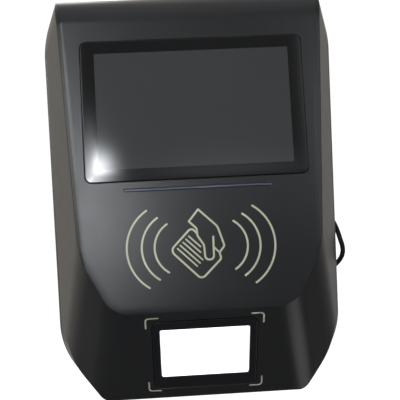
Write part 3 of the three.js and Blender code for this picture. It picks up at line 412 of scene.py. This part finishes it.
# ------------------------------------------------------------------ materials
class Tree:
    """A small wrapper that adds and joins the nodes of one node tree."""

    def __init__(self, tree):
        self.tree = tree

    def add(self, kind, **settings):
        node = self.tree.nodes.new(kind)
        for key, value in settings.items():
            setattr(node, key, value)
        return node

    def link(self, source, target):
        self.tree.links.new(source, target)

    def value(self, number):
        node = self.add("ShaderNodeValue")
        node.outputs[0].default_value = number
        return node.outputs[0]

    def spread(self, value, low, high, start=0.3, end=0.7, interpolation="LINEAR"):
        """Maps a value's range from start to end onto low to high."""
        node = self.add("ShaderNodeMapRange", interpolation_type=interpolation)
        limits = {"From Min": start, "From Max": end, "To Min": low, "To Max": high}
        for key, number in limits.items():
            node.inputs[key].default_value = number
        self.link(value, node.inputs["Value"])
        return node.outputs["Result"]


class Nodes(Tree):
    """The nodes of one new material."""

    def __init__(self, name):
        self.material = bpy.data.materials.new(name)
        self.material.use_nodes = True
        super().__init__(self.material.node_tree)
        self.shader = self.tree.nodes["Principled BSDF"]
        self.place = self.add("ShaderNodeTexCoord").outputs["Object"]

    def noise(self, scale, detail=3, roughness=0.5):
        node = self.add("ShaderNodeTexNoise")
        node.inputs["Scale"].default_value = scale
        node.inputs["Detail"].default_value = detail
        node.inputs["Roughness"].default_value = roughness
        self.link(self.place, node.inputs["Vector"])
        return node.outputs["Fac"]

    def bump(self, height, strength, distance):
        node = self.add("ShaderNodeBump")
        node.inputs["Strength"].default_value = strength
        node.inputs["Distance"].default_value = distance
        self.link(height, node.inputs["Height"])
        return node.outputs["Normal"]

    def mix(self, factor, one, other):
        node = self.add("ShaderNodeMix", data_type="RGBA")
        node.inputs["A"].default_value = (*one, 1)
        node.inputs["B"].default_value = (*other, 1)
        self.link(factor, node.inputs["Factor"])
        return node.outputs["Result"]

    def edges(self, radius):
        """1 along worn edges and 0 elsewhere."""
        bevel = self.add("ShaderNodeBevel", samples=4)
        bevel.inputs["Radius"].default_value = radius
        geometry = self.add("ShaderNodeNewGeometry")
        product = self.add("ShaderNodeVectorMath", operation="DOT_PRODUCT")
        self.link(bevel.outputs["Normal"], product.inputs[0])
        self.link(geometry.outputs["Normal"], product.inputs[1])
        return self.spread(product.outputs["Value"], 1, 0, 0.9, 0.995)


def surface(name, dark, light, rough, cloud=18, grain=1400, grain_depth=0.00002, coat=0.0,
            wear=0.0004, worn=None):
    """A solid's finish: cloudy colour, uneven gloss, fine grain and paler edges."""
    nodes = Nodes(name)
    shader = nodes.shader
    shader.inputs["Coat Weight"].default_value = coat
    shader.inputs["Coat Roughness"].default_value = 0.08
    clouds = nodes.noise(cloud, 4, 0.6)
    colour = nodes.mix(nodes.spread(clouds, 0, 1), dark, light)
    if worn:
        edge = nodes.add("ShaderNodeMix", data_type="RGBA")
        edge.inputs["B"].default_value = (*worn, 1)
        nodes.link(nodes.edges(wear), edge.inputs["Factor"])
        nodes.link(colour, edge.inputs["A"])
        colour = edge.outputs["Result"]
    nodes.link(colour, shader.inputs["Base Color"])
    nodes.link(nodes.spread(nodes.noise(cloud * 6, 5, 0.7), *rough), shader.inputs["Roughness"])
    nodes.link(nodes.bump(nodes.noise(grain, 2), 0.35, grain_depth), shader.inputs["Normal"])
    return nodes.material


def glowing(name, colour, strength):
    """A lit diffuser with a faintly uneven glow."""
    nodes = Nodes(name)
    shader = nodes.shader
    shader.inputs["Base Color"].default_value = (*colour, 1)
    shader.inputs["Roughness"].default_value = 0.35
    shader.inputs["Emission Color"].default_value = (*colour, 1)
    glow = nodes.spread(nodes.noise(60, 2), strength * 0.95, strength * 1.05)
    nodes.link(glow, shader.inputs["Emission Strength"])
    nodes.link(nodes.bump(nodes.noise(900), 0.2, 0.00001), shader.inputs["Normal"])
    return nodes.material


def brushed(name, dark, light, rough, direction):
    """Metal with fine drawn lines along one axis."""
    nodes = Nodes(name)
    shader = nodes.shader
    shader.inputs["Metallic"].default_value = 1
    stretch = nodes.add("ShaderNodeMapping")
    stretch.inputs["Scale"].default_value = direction
    nodes.link(nodes.place, stretch.inputs["Vector"])
    lines = nodes.add("ShaderNodeTexNoise")
    lines.inputs["Scale"].default_value = 60
    lines.inputs["Detail"].default_value = 6
    nodes.link(stretch.outputs["Vector"], lines.inputs["Vector"])
    colour = nodes.mix(nodes.spread(nodes.noise(30, 4), 0, 1), dark, light)
    nodes.link(colour, shader.inputs["Base Color"])
    nodes.link(nodes.spread(lines.outputs["Fac"], *rough), shader.inputs["Roughness"])
    nodes.link(nodes.bump(lines.outputs["Fac"], 0.3, 0.00002), shader.inputs["Normal"])
    return nodes.material


def board_finish(name):
    """Green solder mask over copper tracks, which show as a fine raised grid."""
    nodes = Nodes(name)
    shader = nodes.shader
    shader.inputs["Coat Weight"].default_value = 0.4
    tracks = nodes.add("ShaderNodeTexBrick")
    tracks.inputs["Scale"].default_value = 160
    tracks.inputs["Mortar Size"].default_value = 0.06
    nodes.link(nodes.place, tracks.inputs["Vector"])
    colour = nodes.mix(tracks.outputs["Fac"], (0.01, 0.09, 0.03), (0.03, 0.17, 0.06))
    nodes.link(colour, shader.inputs["Base Color"])
    nodes.link(nodes.spread(nodes.noise(300), 0.35, 0.55), shader.inputs["Roughness"])
    nodes.link(nodes.bump(tracks.outputs["Fac"], 0.4, 0.00003), shader.inputs["Normal"])
    return nodes.material


def make_materials():
    brass = ((0.42, 0.26, 0.08), (0.5, 0.33, 0.12))
    steel = ((0.4, 0.41, 0.42), (0.52, 0.53, 0.54))
    return {
        "shell": surface("shell", (0.018, 0.0185, 0.0195), (0.023, 0.0235, 0.0245), (0.28, 0.32),
                         grain_depth=0.00003, worn=(0.05, 0.052, 0.056)),
        "glass": surface("glass", (0.002, 0.0022, 0.0024), (0.004, 0.0044, 0.0048), (0.03, 0.05),
                         cloud=9, grain=300, grain_depth=0.000002, coat=0.3, wear=0.0002,
                         worn=(0.03, 0.035, 0.04)),
        "display": surface("display", (0.06, 0.061, 0.061), (0.066, 0.067, 0.067), (0.04, 0.06),
                           cloud=12, grain=2500, grain_depth=0.000002),
        "gloss_frame": surface("gloss_frame", (0.004, 0.005, 0.007), (0.007, 0.008, 0.011),
                               (0.06, 0.12), grain=400, grain_depth=0.000002, coat=0.4),
        "diffuser": glowing("diffuser", (1, 1, 1), 1.6),
        "light_guide": surface("light_guide", (0.1, 0.12, 0.17), (0.15, 0.18, 0.24), (0.2, 0.26),
                               cloud=25, coat=0.2),
        "gasket": surface("gasket", (0.006, 0.006, 0.006), (0.012, 0.012, 0.012), (0.75, 0.9)),
        "tape": surface("tape", (0.006, 0.006, 0.006), (0.012, 0.012, 0.012), (0.8, 0.95)),
        "circuit_board": board_finish("circuit_board"),
        "ferrite": surface("ferrite", (0.035, 0.033, 0.033), (0.055, 0.05, 0.05), (0.65, 0.8)),
        "steel": brushed("steel", *steel, (0.29, 0.42), (1, 1, 12)),
        "brass": brushed("brass", *brass, (0.29, 0.4), (1, 12, 1)),
        "aluminium": brushed("aluminium", *steel, (0.3, 0.5), (1, 1, 9)),
        "bracket": surface("bracket", (0.028, 0.03, 0.032), (0.036, 0.038, 0.04), (0.5, 0.62),
                           grain=700, grain_depth=0.00008, worn=(0.2, 0.2, 0.2)),
        "polymer": surface("polymer", (0.01, 0.0105, 0.012), (0.017, 0.018, 0.019), (0.45, 0.6),
                           worn=(0.04, 0.04, 0.042)),
        "pale_plastic": surface("pale_plastic", (0.74, 0.74, 0.7), (0.82, 0.82, 0.79), (0.4, 0.5)),
        "cable_jacket": surface("cable_jacket", (0.007, 0.007, 0.008), (0.013, 0.013, 0.014),
                                (0.55, 0.7), grain=2500),
        "ink": surface("ink", (0.66, 0.68, 0.49), (0.74, 0.76, 0.58), (0.5, 0.65), cloud=60,
                       grain=3000, grain_depth=0.00001),
    }


MATERIALS = make_materials()


def finish(piece, slot, body, *nodes):
    """Gives a new piece its finish and its body, and hides the CAD nodes that it stands for."""
    if not piece.data.materials:
        piece.data.materials.append(MATERIALS[slot])
    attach(piece, body)
    if nodes:
        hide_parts(*nodes)


# ------------------------------------------------------------------ cable
HUNG = [
    (72.6, 12, 100), (77, 12, 99.8), (81.5, 11.6, 98.2), (85, 10.8, 95), (87.2, 10, 91),
    (88.7, 9.4, 86.6), (89.9, 9, 82.2), (91, 9, 78), (91, 9.4, 73.6), (89, 10, 69.4),
    (85.4, 10.4, 66), (81, 10.4, 63), (76.4, 10, 59.4), (72, 9.2, 55), (68, 8.2, 50),
    (64.8, 7.2, 44.6), (62.4, 6.4, 39), (60.6, 5.8, 33.4),
]


def cable_route():
    """From the gland out past the housing's edge, back behind it, round the coil and to the plug."""
    radius = CABLE["radius"]
    # Where each of the four turns lies in the coil's square section: outward and rearward.
    rings = ((1, 1), (1, -1), (-1, -1), (-1, 1))
    wound = len(rings) - 1 + (COIL["start"] + math.pi / 2) / math.tau
    turns = []
    for i in range(1, COIL["steps"] + 1):
        turn = wound * i / COIL["steps"]
        ring = min(int(turn), len(rings) - 2)
        change = min(1, max(0, (turn - ring - (1 - CROSSING)) / CROSSING))
        outward, rearward = (
            before + (after - before) * change for before, after in zip(rings[ring], rings[ring + 1]))
        reach = COIL["radius"] + radius * outward
        angle = COIL["start"] - math.tau * turn
        turns.append((
            COIL["x"] + reach * math.cos(angle), COIL["y"] + radius * rearward,
            COIL["z"] + reach * math.sin(angle)))
    tail = [(x, PLUG["y"] - 1, PLUG["z"]) for x in (31, PLUG["high"] + GAP)]
    return [Vector(p) for p in HUNG + turns + tail]


def add_cable():
    line = bpy.data.curves.new("cable_run", "CURVE")
    line.dimensions = "3D"
    line.bevel_depth = CABLE["radius"] * MM
    line.bevel_resolution = 4
    line.resolution_u = 4
    line.use_fill_caps = True
    spline = line.splines.new("BEZIER")
    route = [TO_ROW @ point for point in cable_route()]
    spline.bezier_points.add(len(route) - 1)
    for knot, point in zip(spline.bezier_points, route):
        knot.co = point
        knot.handle_left_type = knot.handle_right_type = "AUTO"
    piece = new_object("cable_run", line)
    finish(piece, "cable_jacket", "housing", "cable", "cable_coil", "cable_tail")


# ------------------------------------------------------------------ housing pieces
def add_front_shell():
    shell = housing()
    light_slot = {**widened(LIGHT_BAR, GAP), "radius": LIGHT_SLOT["radius"]}
    on_face, on_chin = FROM_ROW @ FACE, FROM_ROW @ CHIN
    openings = [
        pocket(widened(GLASS, GLASS_GAP), GLASS["seat"], on_face),
        opening(SCREEN_OPENING, GLASS["middle"], on_face),
        pocket(light_slot, -CLEAR, on_face, LIGHT_SLOT["lead"]),
        pocket(widened(SCANNER_FRAME, GAP), SCANNER_FRAME["seat"], on_chin),
        opening(SCANNER_OPENING, SCANNER_FRAME["middle"], on_chin),
        block((-FAR, -COVER_WALL - SEAM_GAP, -FAR), (FAR, FAR, FAR)),
    ]
    combine(shell, "DIFFERENCE", [housing(WALL), *openings])
    place_half(shell, "housing_front", "front_shell")


def add_rear_cover():
    cover = housing()
    combine(cover, "DIFFERENCE", [block((-FAR, -FAR, -FAR), (FAR, -COVER_WALL, FAR))])
    bosses = [bar("y", BOSS["radius"], -BOSS["reach"], -COVER_WALL / 2, at) for at in COVER_SCREWS]
    combine(cover, "UNION", bosses + door_knuckles())
    upright = Matrix.Translation((0, 0, BOX_OPENING["middle"])) @ Matrix.Rotation(math.pi / 2, 4, "X")
    pin_reach = DOOR_PIN["past_door"]
    slots = SPEAKER_SLOTS
    holes = [
        opening(BOX_OPENING, 0, upright),
        block((DOOR["left"] - GAP, -CLEAR, DOOR["low"] - GAP),
              (DOOR["right"] + GAP, 1, DOOR["high"] + GAP)),
        bar("x", DOOR_PIN["radius"] + GAP, DOOR["left"] - pin_reach, DOOR["right"] + pin_reach,
            (DOOR_PIN["y"], DOOR_PIN["z"])),
        bar("y", BUTTON["radius"] + GAP, *BUTTON["cut"], (BUTTON["x"], BUTTON["z"])),
    ]
    begin, end = slots["cut"]
    for x in slots["x"]:
        left, right = x - slots["half"], x + slots["half"]
        holes.append(block((left, begin, slots["low"]), (right, end, slots["high"])))
    for hole in (SCREW_HOLE, SCREW_RECESS):
        holes += [bar("y", hole["radius"], *hole["cut"], at) for at in COVER_SCREWS]
    combine(cover, "DIFFERENCE", holes)
    place_half(cover, "housing_rear", "rear_cover")


def door_knuckles():
    """The cover's two hinge knuckles, one at each end of the door's pin."""
    y, z = DOOR_PIN["y"], DOOR_PIN["z"]
    radius, length = KNUCKLE["radius"], KNUCKLE["length"]
    first, last = DOOR["left"] + KNUCKLE["inset"], DOOR["right"] - KNUCKLE["inset"]
    knuckles = []
    for low, high in ((first, first + length), (last - length, last)):
        knuckles.append(bar("x", radius, low, high, (y, z)))
        knuckles.append(block((low, -KNUCKLE["root"], z - radius), (high, y, z)))
    return knuckles


def place_half(piece, name, node):
    """Moves a half of the housing into the row frame and finishes it."""
    tidy_faces(piece)
    piece.name = name
    piece.data.transform(TO_ROW)
    smooth(piece, SHELL_SHARP)
    finish(piece, "shell", "housing", node)


# ------------------------------------------------------------------ face and chin pieces
def edged_plate(shape):
    """Levels of a plate with rounded rims."""
    width, height, radius, low, high, edge = (
        shape[key] for key in ("width", "height", "radius", "low", "high", "edge"))
    rim = 0.3 * edge
    return [
        (width - 2 * edge, height - 2 * edge, radius - edge, low),
        (width - 2 * rim, height - 2 * rim, radius - rim, low + rim),
        (width, height, radius, low + edge),
        (width, height, radius, high - edge),
        (width - 2 * rim, height - 2 * rim, radius - rim, high - rim),
        (width - 2 * edge, height - 2 * edge, radius - edge, high),
    ]


def plate(name, shape, surface_frame):
    return mesh_object(name, loft(edged_plate(shape), shape["middle"]), surface_frame)


def add_screen():
    """The cover glass: a black printed border round the switched-off panel behind it."""
    lit = (SCREEN["width"], SCREEN["height"], SCREEN["radius"], GLASS["high"])
    piece = mesh_object("screen", loft([*edged_plate(GLASS), lit], GLASS["middle"]), FACE)
    piece.data.materials.append(MATERIALS["glass"])
    piece.data.materials.append(MATERIALS["display"])
    piece.data.polygons[-1].material_index = 1
    smooth(piece, PLATE_SHARP)
    finish(piece, "glass", "housing", "screen_glass")


def add_light_bar():
    piece = plate("light_bar", LIGHT_BAR, FACE)
    combine(piece, "UNION", [plate("foot", LIGHT_FOOT, FACE)])
    smooth(piece, PLATE_SHARP)
    finish(piece, "light_guide", "housing", "light_guide")


def add_scanner():
    surround = plate("scanner_surround", SCANNER_FRAME, FROM_ROW @ CHIN)
    hole = {**widened(SCANNER_WINDOW, GAP), "radius": SCANNER_HOLE["radius"]}
    combine(surround, "DIFFERENCE", [
        pocket(hole, SCANNER_HOLE["depth"], FROM_ROW @ CHIN, SCANNER_HOLE["lead"],
               SCANNER_HOLE["mouth"])])
    surround.data.transform(TO_ROW)
    smooth(surround, PLATE_SHARP)
    finish(surround, "gloss_frame", "housing", "scanner_frame")
    pane = plate("scanner_pane", SCANNER_WINDOW, CHIN)
    smooth(pane, PLATE_SHARP)
    finish(pane, "diffuser", "housing", "scanner_window")


# ------------------------------------------------------------------ printed marks
def stroke(name, points, width, surface_frame):
    """A printed line of even width with round ends, a little proud of the surface."""
    points = [Vector(p) for p in points]
    half = width / 2
    sides = ([], [])
    for before, point, after in zip([points[0], *points], points, [*points[1:], points[-1]]):
        ahead, behind = (after - point).normalized(), (point - before).normalized()
        along = (ahead + behind).normalized()
        across = Vector((-along.y, along.x))
        straight = ahead if ahead.length else behind
        reach = half / max(MITRE, abs(across.dot(Vector((-straight.y, straight.x)))))
        sides[0].append(point + across * reach)
        sides[1].append(point - across * reach)
    form = bmesh.new()
    layers = [
        [[form.verts.new((p.x, p.y, z)) for p in side] for side in sides]
        for z in (-INK_DEPTH, INK_HEIGHT)]
    (low_left, low_right), (high_left, high_right) = layers
    last = len(points) - 1
    for i in range(last):
        j = i + 1
        form.faces.new((high_left[i], high_right[i], high_right[j], high_left[j]))
        form.faces.new((low_left[i], low_left[j], low_right[j], low_right[i]))
        form.faces.new((high_left[i], high_left[j], low_left[j], low_left[i]))
        form.faces.new((high_right[j], high_right[i], low_right[i], low_right[j]))
    for i, outward in ((0, points[0] - points[1]), (last, points[-1] - points[-2])):
        round_end(form, points[i], outward.normalized(), half,
                  (low_left[i], low_right[i], high_left[i], high_right[i]))
    finish(mesh_object(name, form, surface_frame), "ink", "housing")


def round_end(form, middle, outward, half, ends):
    """Closes a stroke with a half disc between its two sides."""
    low_left, low_right, high_left, high_right = ends
    start = math.atan2(high_left.co.y - middle.y, high_left.co.x - middle.x)
    across = Vector((math.cos(start), math.sin(start)))
    turn = 1 if across.x * outward.y - across.y * outward.x > 0 else -1
    rims = []
    for z, first, last in ((-INK_DEPTH, low_left, low_right), (INK_HEIGHT, high_left, high_right)):
        rim = [first]
        for k in range(1, BEND_STEPS):
            angle = start + turn * math.pi * k / BEND_STEPS
            rim.append(form.verts.new((
                middle.x + half * math.cos(angle), middle.y + half * math.sin(angle), z)))
        rims.append(rim + [last])
    low, high = rims
    form.faces.new(high)
    form.faces.new(list(reversed(low)))
    for k in range(BEND_STEPS):
        form.faces.new((low[k], low[k + 1], high[k + 1], high[k]))


def fillet(before, corner, after, radius):
    """The arc that rounds a corner of a path."""
    back, ahead = (before - corner).normalized(), (after - corner).normalized()
    half_angle = math.acos(max(-1, min(1, back.dot(ahead)))) / 2
    room = BEND_ROOM * min((before - corner).length, (after - corner).length)
    run = min(radius / math.tan(half_angle), room)
    bend = run * math.tan(half_angle)
    middle = corner + (back + ahead).normalized() * (bend / math.sin(half_angle))
    first, last = corner + back * run - middle, corner + ahead * run - middle
    sweep = first.angle_signed(last)
    return [
        middle + Matrix.Rotation(-sweep * k / BEND_STEPS, 2) @ first for k in range(BEND_STEPS + 1)]


def soften_corners(points, bends):
    """A path whose corners are rounded. Bends gives the radii by the corners' numbers."""
    points = [Vector(p) for p in points]
    path = [points[0]]
    for i in range(1, len(points) - 1):
        path += fillet(*points[i - 1:i + 2], bends.get(i, PLAIN_BEND))
    return path + [points[-1]]


# Each wave: its radius, its centre's distance from the middle and half its chord.
WAVES = {"inner": (15.6, 10.0, 13.2), "middle": (20.2, 12.4, 16.9), "outer": (25.0, 15.8, 21.1)}
WAVE_STEPS = 24
HAND = [(9.8, 30.6), (12.7, 34.2), (9.4, 45), (-0.8, 54.8), (-6.2, 48.4), (-2.1, 44.4),
        (-1.9, 40.4), (1.5, 35.2), (1.9, 27), (6.6, 27), (6.8, 39.4)]
HAND_BENDS = {1: 1.6, 2: 6, 5: 2.4, 6: 3, 7: 4, 8: 2.2, 9: 2.2}
FINGER = [(9.8, 30.6), (6.95, 33.6)]
CARD = [(9.8, 30.6), (10.6, 27.2), (-0.6, 16.4), (-17.1, 32.9), (-5, 45), (-1.9, 41.4)]
CARD_BENDS = {1: 1.8, 2: 2.8, 3: 3, 4: 2.6}
CARD_LINES = {"first": (-6.6, 40.3), "pitch": -1.62, "direction": (0.715, -0.699),
              "lengths": (8.6, 10.7, 14.2, 14.4, 14.4)}


def add_waves():
    """Three arcs on each side of the card target."""
    for sign, side in ((-1, "left"), (1, "right")):
        for name, (radius, middle, half_chord) in WAVES.items():
            reach = math.asin(half_chord / radius)
            points = []
            for k in range(WAVE_STEPS + 1):
                angle = reach * (2 * k / WAVE_STEPS - 1)
                points.append((
                    sign * (middle + radius * math.cos(angle)),
                    TARGET_MIDDLE + radius * math.sin(angle)))
            stroke(f"wave_{side}_{name}", points, LINES["wave"], FACE)


def add_card_sign():
    """A hand that holds a card to the target."""
    stroke("sign_hand", soften_corners(HAND, HAND_BENDS), LINES["hand"], FACE)
    stroke("sign_finger", FINGER, LINES["finger"], FACE)
    stroke("sign_card", soften_corners(CARD, CARD_BENDS), LINES["card"], FACE)
    direction = Vector(CARD_LINES["direction"])
    for i, length in enumerate(CARD_LINES["lengths"]):
        start = Vector(CARD_LINES["first"]) + i * CARD_LINES["pitch"] * Vector((1, 1))
        ends = [start, start + length * direction]
        stroke(f"sign_line_{i + 1}", ends, LINES["card_line"], FACE)


def add_scanner_marks():
    """Corner marks round the scanner window."""
    half, low, high, arm = (SCANNER_MARKS[key] for key in ("half_width", "low", "high", "arm"))
    for sign, side in ((-1, "left"), (1, "right")):
        for level, direction, name in ((low, 1, "bottom"), (high, -1, "top")):
            path = [(sign * (half - arm), level), (sign * half, level),
                    (sign * half, level + direction * arm)]
            path = soften_corners(path, {1: SCANNER_MARKS["bend"]})
            stroke(f"mark_{side}_{name}", path, LINES["mark"], CHIN)


# ------------------------------------------------------------------ carried-over CAD nodes
NODE_RIM = 0.2                      # radius of the rounded edges on a CAD node
NODE_SHARP = math.radians(35)       # edges past this angle get it
NODE_FLAT = math.radians(1)         # faces that turn less than this are joined


def soften_nodes():
    """Gives every CAD node that still shows its finish and small rounded edges."""
    slots = {part["node"]: part["material_slot"] for part in frame["record"]["subparts"]}
    for name, node in frame["nodes"].items():
        material = MATERIALS[slots[name]]
        node.data.materials.clear()
        node.data.materials.append(material)
        flat = node.modifiers.new("flat", "DECIMATE")
        flat.decimate_type = "DISSOLVE"
        flat.angle_limit = NODE_FLAT
        rim = node.modifiers.new("rim", "BEVEL")
        rim.width = NODE_RIM * MM
        rim.segments = 2
        rim.limit_method = "ANGLE"
        rim.angle_limit = NODE_SHARP
        node.data.shade_smooth()
        node.data.set_sharp_from_angle(angle=NODE_SHARP)


# ------------------------------------------------------------------ floor and light
# Metres, in the row frame.
FLOOR = {"drop": 0.5, "reach": 6, "glow": 0.75}
WINDOW = {"y": -0.515, "z": 0.1, "reach": 0.4, "colour": (0.93, 0.96, 1, 1)}
# Patches on the window's card: middle and spread in x and z, then strength.
GLOWS = (
    ((-0.083, 0.133), (0.010, 0.012), 25), ((-0.103, 0.074), (0.018, 0.043), 24),
    ((-0.2, 0.2), (0.026, 0.09), 14), ((0.22, 0.2), (0.026, 0.09), 3.2),
    ((0.05, 0.118), (0.07, 0.018), 0.5),
)
SHADE = ((0.08, 0.0), (0.1, 0.055), -1)
# Light panels: direction and distance from a target, the target, size, radiance and colour.
PANELS = {
    "left": ((-0.966, -0.217, 0.142), 0.6, (-0.074, -0.085, 0.03), (0.2, 0.25), 3, (1, 1, 1)),
    "right": ((0.986, -0.116, 0.129), 0.6, (0.074, -0.085, 0.03), (0.25, 0.3), 0.8, (1, 1, 1)),
    "low_right": ((0.62, -0.125, -0.775), 0.4, (0.045, -0.075, -0.09), (0.18, 0.18), 1, (1, 1, 1)),
    "back": ((-0.35, 0.7, 0.62), 1.2, (0, 0, 0), (0.7, 0.5), 2.5, (1, 0.95, 0.9)),
    "low_back": ((-0.1, 0.99, -0.05), 1, (0, 0, 0), (0.6, 0.5), 2.2, (1, 0.97, 0.94)),
}
# How the studio changes with direction: the axis, where along it from -1 to 1 the change begins
# and ends, and the value before and after.
RISE = ((0, 0, 1), -0.7, 0.3, 0.11, 0.21)
ABOVE = ((0, 0, 1), 0.45, 1, 0, 0.33)
BEHIND = ((-0.3, 0.9, 0.1), 0.2, 0.9, 0, 1)
BEHIND_STRENGTH = 0.34
FRONT_TINT = (0.98, 0.98, 1, 1)
BEHIND_TINT = (1, 0.94, 0.85, 1)
BACKGROUND_STRENGTH = 1.05


def add_floor():
    """A plain pale floor that shows white and throws no light back at the object."""
    form = bmesh.new()
    bmesh.ops.create_grid(form, x_segments=1, y_segments=1, size=FLOOR["reach"])
    level = cad_bounds[0][2] - FLOOR["drop"]
    floor = mesh_object("floor", form, Matrix.Translation((0, 0, level)))
    finish_of_floor = surface("floor", (0.9, 0.9, 0.9), (0.93, 0.93, 0.93), (0.6, 0.7))
    shader = finish_of_floor.node_tree.nodes["Principled BSDF"]
    shader.inputs["Emission Color"].default_value = (1, 1, 1, 1)
    shader.inputs["Emission Strength"].default_value = FLOOR["glow"]
    floor.data.materials.append(finish_of_floor)
    floor.visible_diffuse = floor.visible_glossy = False


def add_panel(name, direction, distance, target, size, radiance, colour):
    """A rectangular light panel of even brightness that faces a target from a direction."""
    lamp = bpy.data.lights.new(name, "AREA")
    lamp.shape = "RECTANGLE"
    lamp.size, lamp.size_y = size
    lamp.energy = radiance * math.pi * size[0] * size[1]
    lamp.color = colour
    light = bpy.data.objects.new(name, lamp)
    toward = Vector(direction).normalized()
    light.location = Vector(target) + distance * toward
    light.rotation_euler = toward.to_track_quat("Z", "Y").to_euler()
    light.visible_camera = False
    bpy.context.collection.objects.link(light)


def add_glow(nodes, middle, spread, strength, base):
    """Adds a soft patch, which fades as a bell curve over the card's x and z, to a value."""
    place = nodes.add("ShaderNodeMapping", vector_type="TEXTURE")
    place.inputs["Location"].default_value = (middle[0], 0, middle[1])
    place.inputs["Scale"].default_value = (spread[0], FAR, spread[1])
    nodes.link(nodes.place, place.inputs["Vector"])
    square = nodes.add("ShaderNodeVectorMath", operation="DOT_PRODUCT")
    nodes.link(place.outputs["Vector"], square.inputs[0])
    nodes.link(place.outputs["Vector"], square.inputs[1])
    fall = nodes.add("ShaderNodeMath", operation="POWER")
    fall.inputs[0].default_value = math.exp(-0.5)
    nodes.link(square.outputs["Value"], fall.inputs[1])
    total = nodes.add("ShaderNodeMath", operation="MULTIPLY_ADD")
    total.inputs[1].default_value = strength
    nodes.link(fall.outputs[0], total.inputs[0])
    nodes.link(base, total.inputs[2])
    return total.outputs[0]


def add_window():
    """A clear card behind the camera, with a window's soft glows and one patch that is shaded."""
    form = bmesh.new()
    bmesh.ops.create_grid(form, x_segments=1, y_segments=1, size=WINDOW["reach"])
    place = Matrix.Translation((0, WINDOW["y"], WINDOW["z"]))
    card = mesh_object("window", form, place @ Matrix.Rotation(math.pi / 2, 4, "X"))
    nodes = Nodes("window")
    brightness = nodes.value(0)
    for middle, spread, radiance in GLOWS:
        brightness = add_glow(nodes, middle, spread, radiance, brightness)
    clearness = add_glow(nodes, *SHADE, nodes.value(1))
    light = nodes.add("ShaderNodeEmission")
    light.inputs["Color"].default_value = WINDOW["colour"]
    nodes.link(brightness, light.inputs["Strength"])
    clear = nodes.add("ShaderNodeBsdfTransparent")
    nodes.link(clearness, clear.inputs["Color"])
    both = nodes.add("ShaderNodeAddShader")
    nodes.link(light.outputs["Emission"], both.inputs[0])
    nodes.link(clear.outputs["BSDF"], both.inputs[1])
    nodes.link(both.outputs["Shader"], nodes.tree.nodes["Material Output"].inputs["Surface"])
    card.data.materials.append(nodes.material)
    card.visible_camera = card.visible_shadow = False


def add_panels():
    for name, panel in PANELS.items():
        add_panel(name, *panel)


class WorldNodes(Tree):
    """The nodes of the studio's surroundings."""

    def __init__(self):
        world = bpy.data.worlds.new("studio")
        world.use_nodes = True
        bpy.context.scene.world = world
        super().__init__(world.node_tree)
        self.studio = self.tree.nodes["Background"]

    def facing(self, direction, toward, start, end, low, high):
        """A value that goes from low to high as a direction turns toward another."""
        product = self.add("ShaderNodeVectorMath", operation="DOT_PRODUCT")
        product.inputs[1].default_value = toward
        self.link(direction, product.inputs[0])
        return self.spread(product.outputs["Value"], low, high, start, end, "SMOOTHSTEP")


def add_world():
    """A studio that is dim below, even in front, brighter above and warmer behind the object."""
    nodes = WorldNodes()
    direction = nodes.add("ShaderNodeTexCoord").outputs["Generated"]
    rise = nodes.facing(direction, *RISE)
    above = nodes.facing(direction, *ABOVE)
    behind = nodes.facing(direction, *BEHIND)
    height = nodes.add("ShaderNodeMath", operation="ADD")
    nodes.link(rise, height.inputs[0])
    nodes.link(above, height.inputs[1])
    strength = nodes.add("ShaderNodeMath", operation="MULTIPLY_ADD")
    nodes.link(behind, strength.inputs[0])
    strength.inputs[1].default_value = BEHIND_STRENGTH
    nodes.link(height.outputs[0], strength.inputs[2])
    tint = nodes.add("ShaderNodeMix", data_type="RGBA")
    nodes.link(behind, tint.inputs["Factor"])
    tint.inputs["A"].default_value = FRONT_TINT
    tint.inputs["B"].default_value = BEHIND_TINT
    nodes.link(tint.outputs["Result"], nodes.studio.inputs["Color"])
    nodes.link(strength.outputs[0], nodes.studio.inputs["Strength"])
    white = nodes.add("ShaderNodeBackground")
    white.inputs["Color"].default_value = (1, 1, 1, 1)
    white.inputs["Strength"].default_value = BACKGROUND_STRENGTH
    choice = nodes.add("ShaderNodeMixShader")
    nodes.link(nodes.add("ShaderNodeLightPath").outputs["Is Camera Ray"], choice.inputs["Fac"])
    nodes.link(nodes.studio.outputs["Background"], choice.inputs[1])
    nodes.link(white.outputs["Background"], choice.inputs[2])
    nodes.link(choice.outputs["Shader"], nodes.tree.nodes["World Output"].inputs["Surface"])
    bpy.context.scene.view_settings.view_transform = "Standard"


add_camera()
add_cable()
add_front_shell()
add_rear_cover()
add_screen()
add_light_bar()
add_scanner()
add_waves()
add_card_sign()
add_scanner_marks()
soften_nodes()
add_floor()
add_window()
add_panels()
add_world()
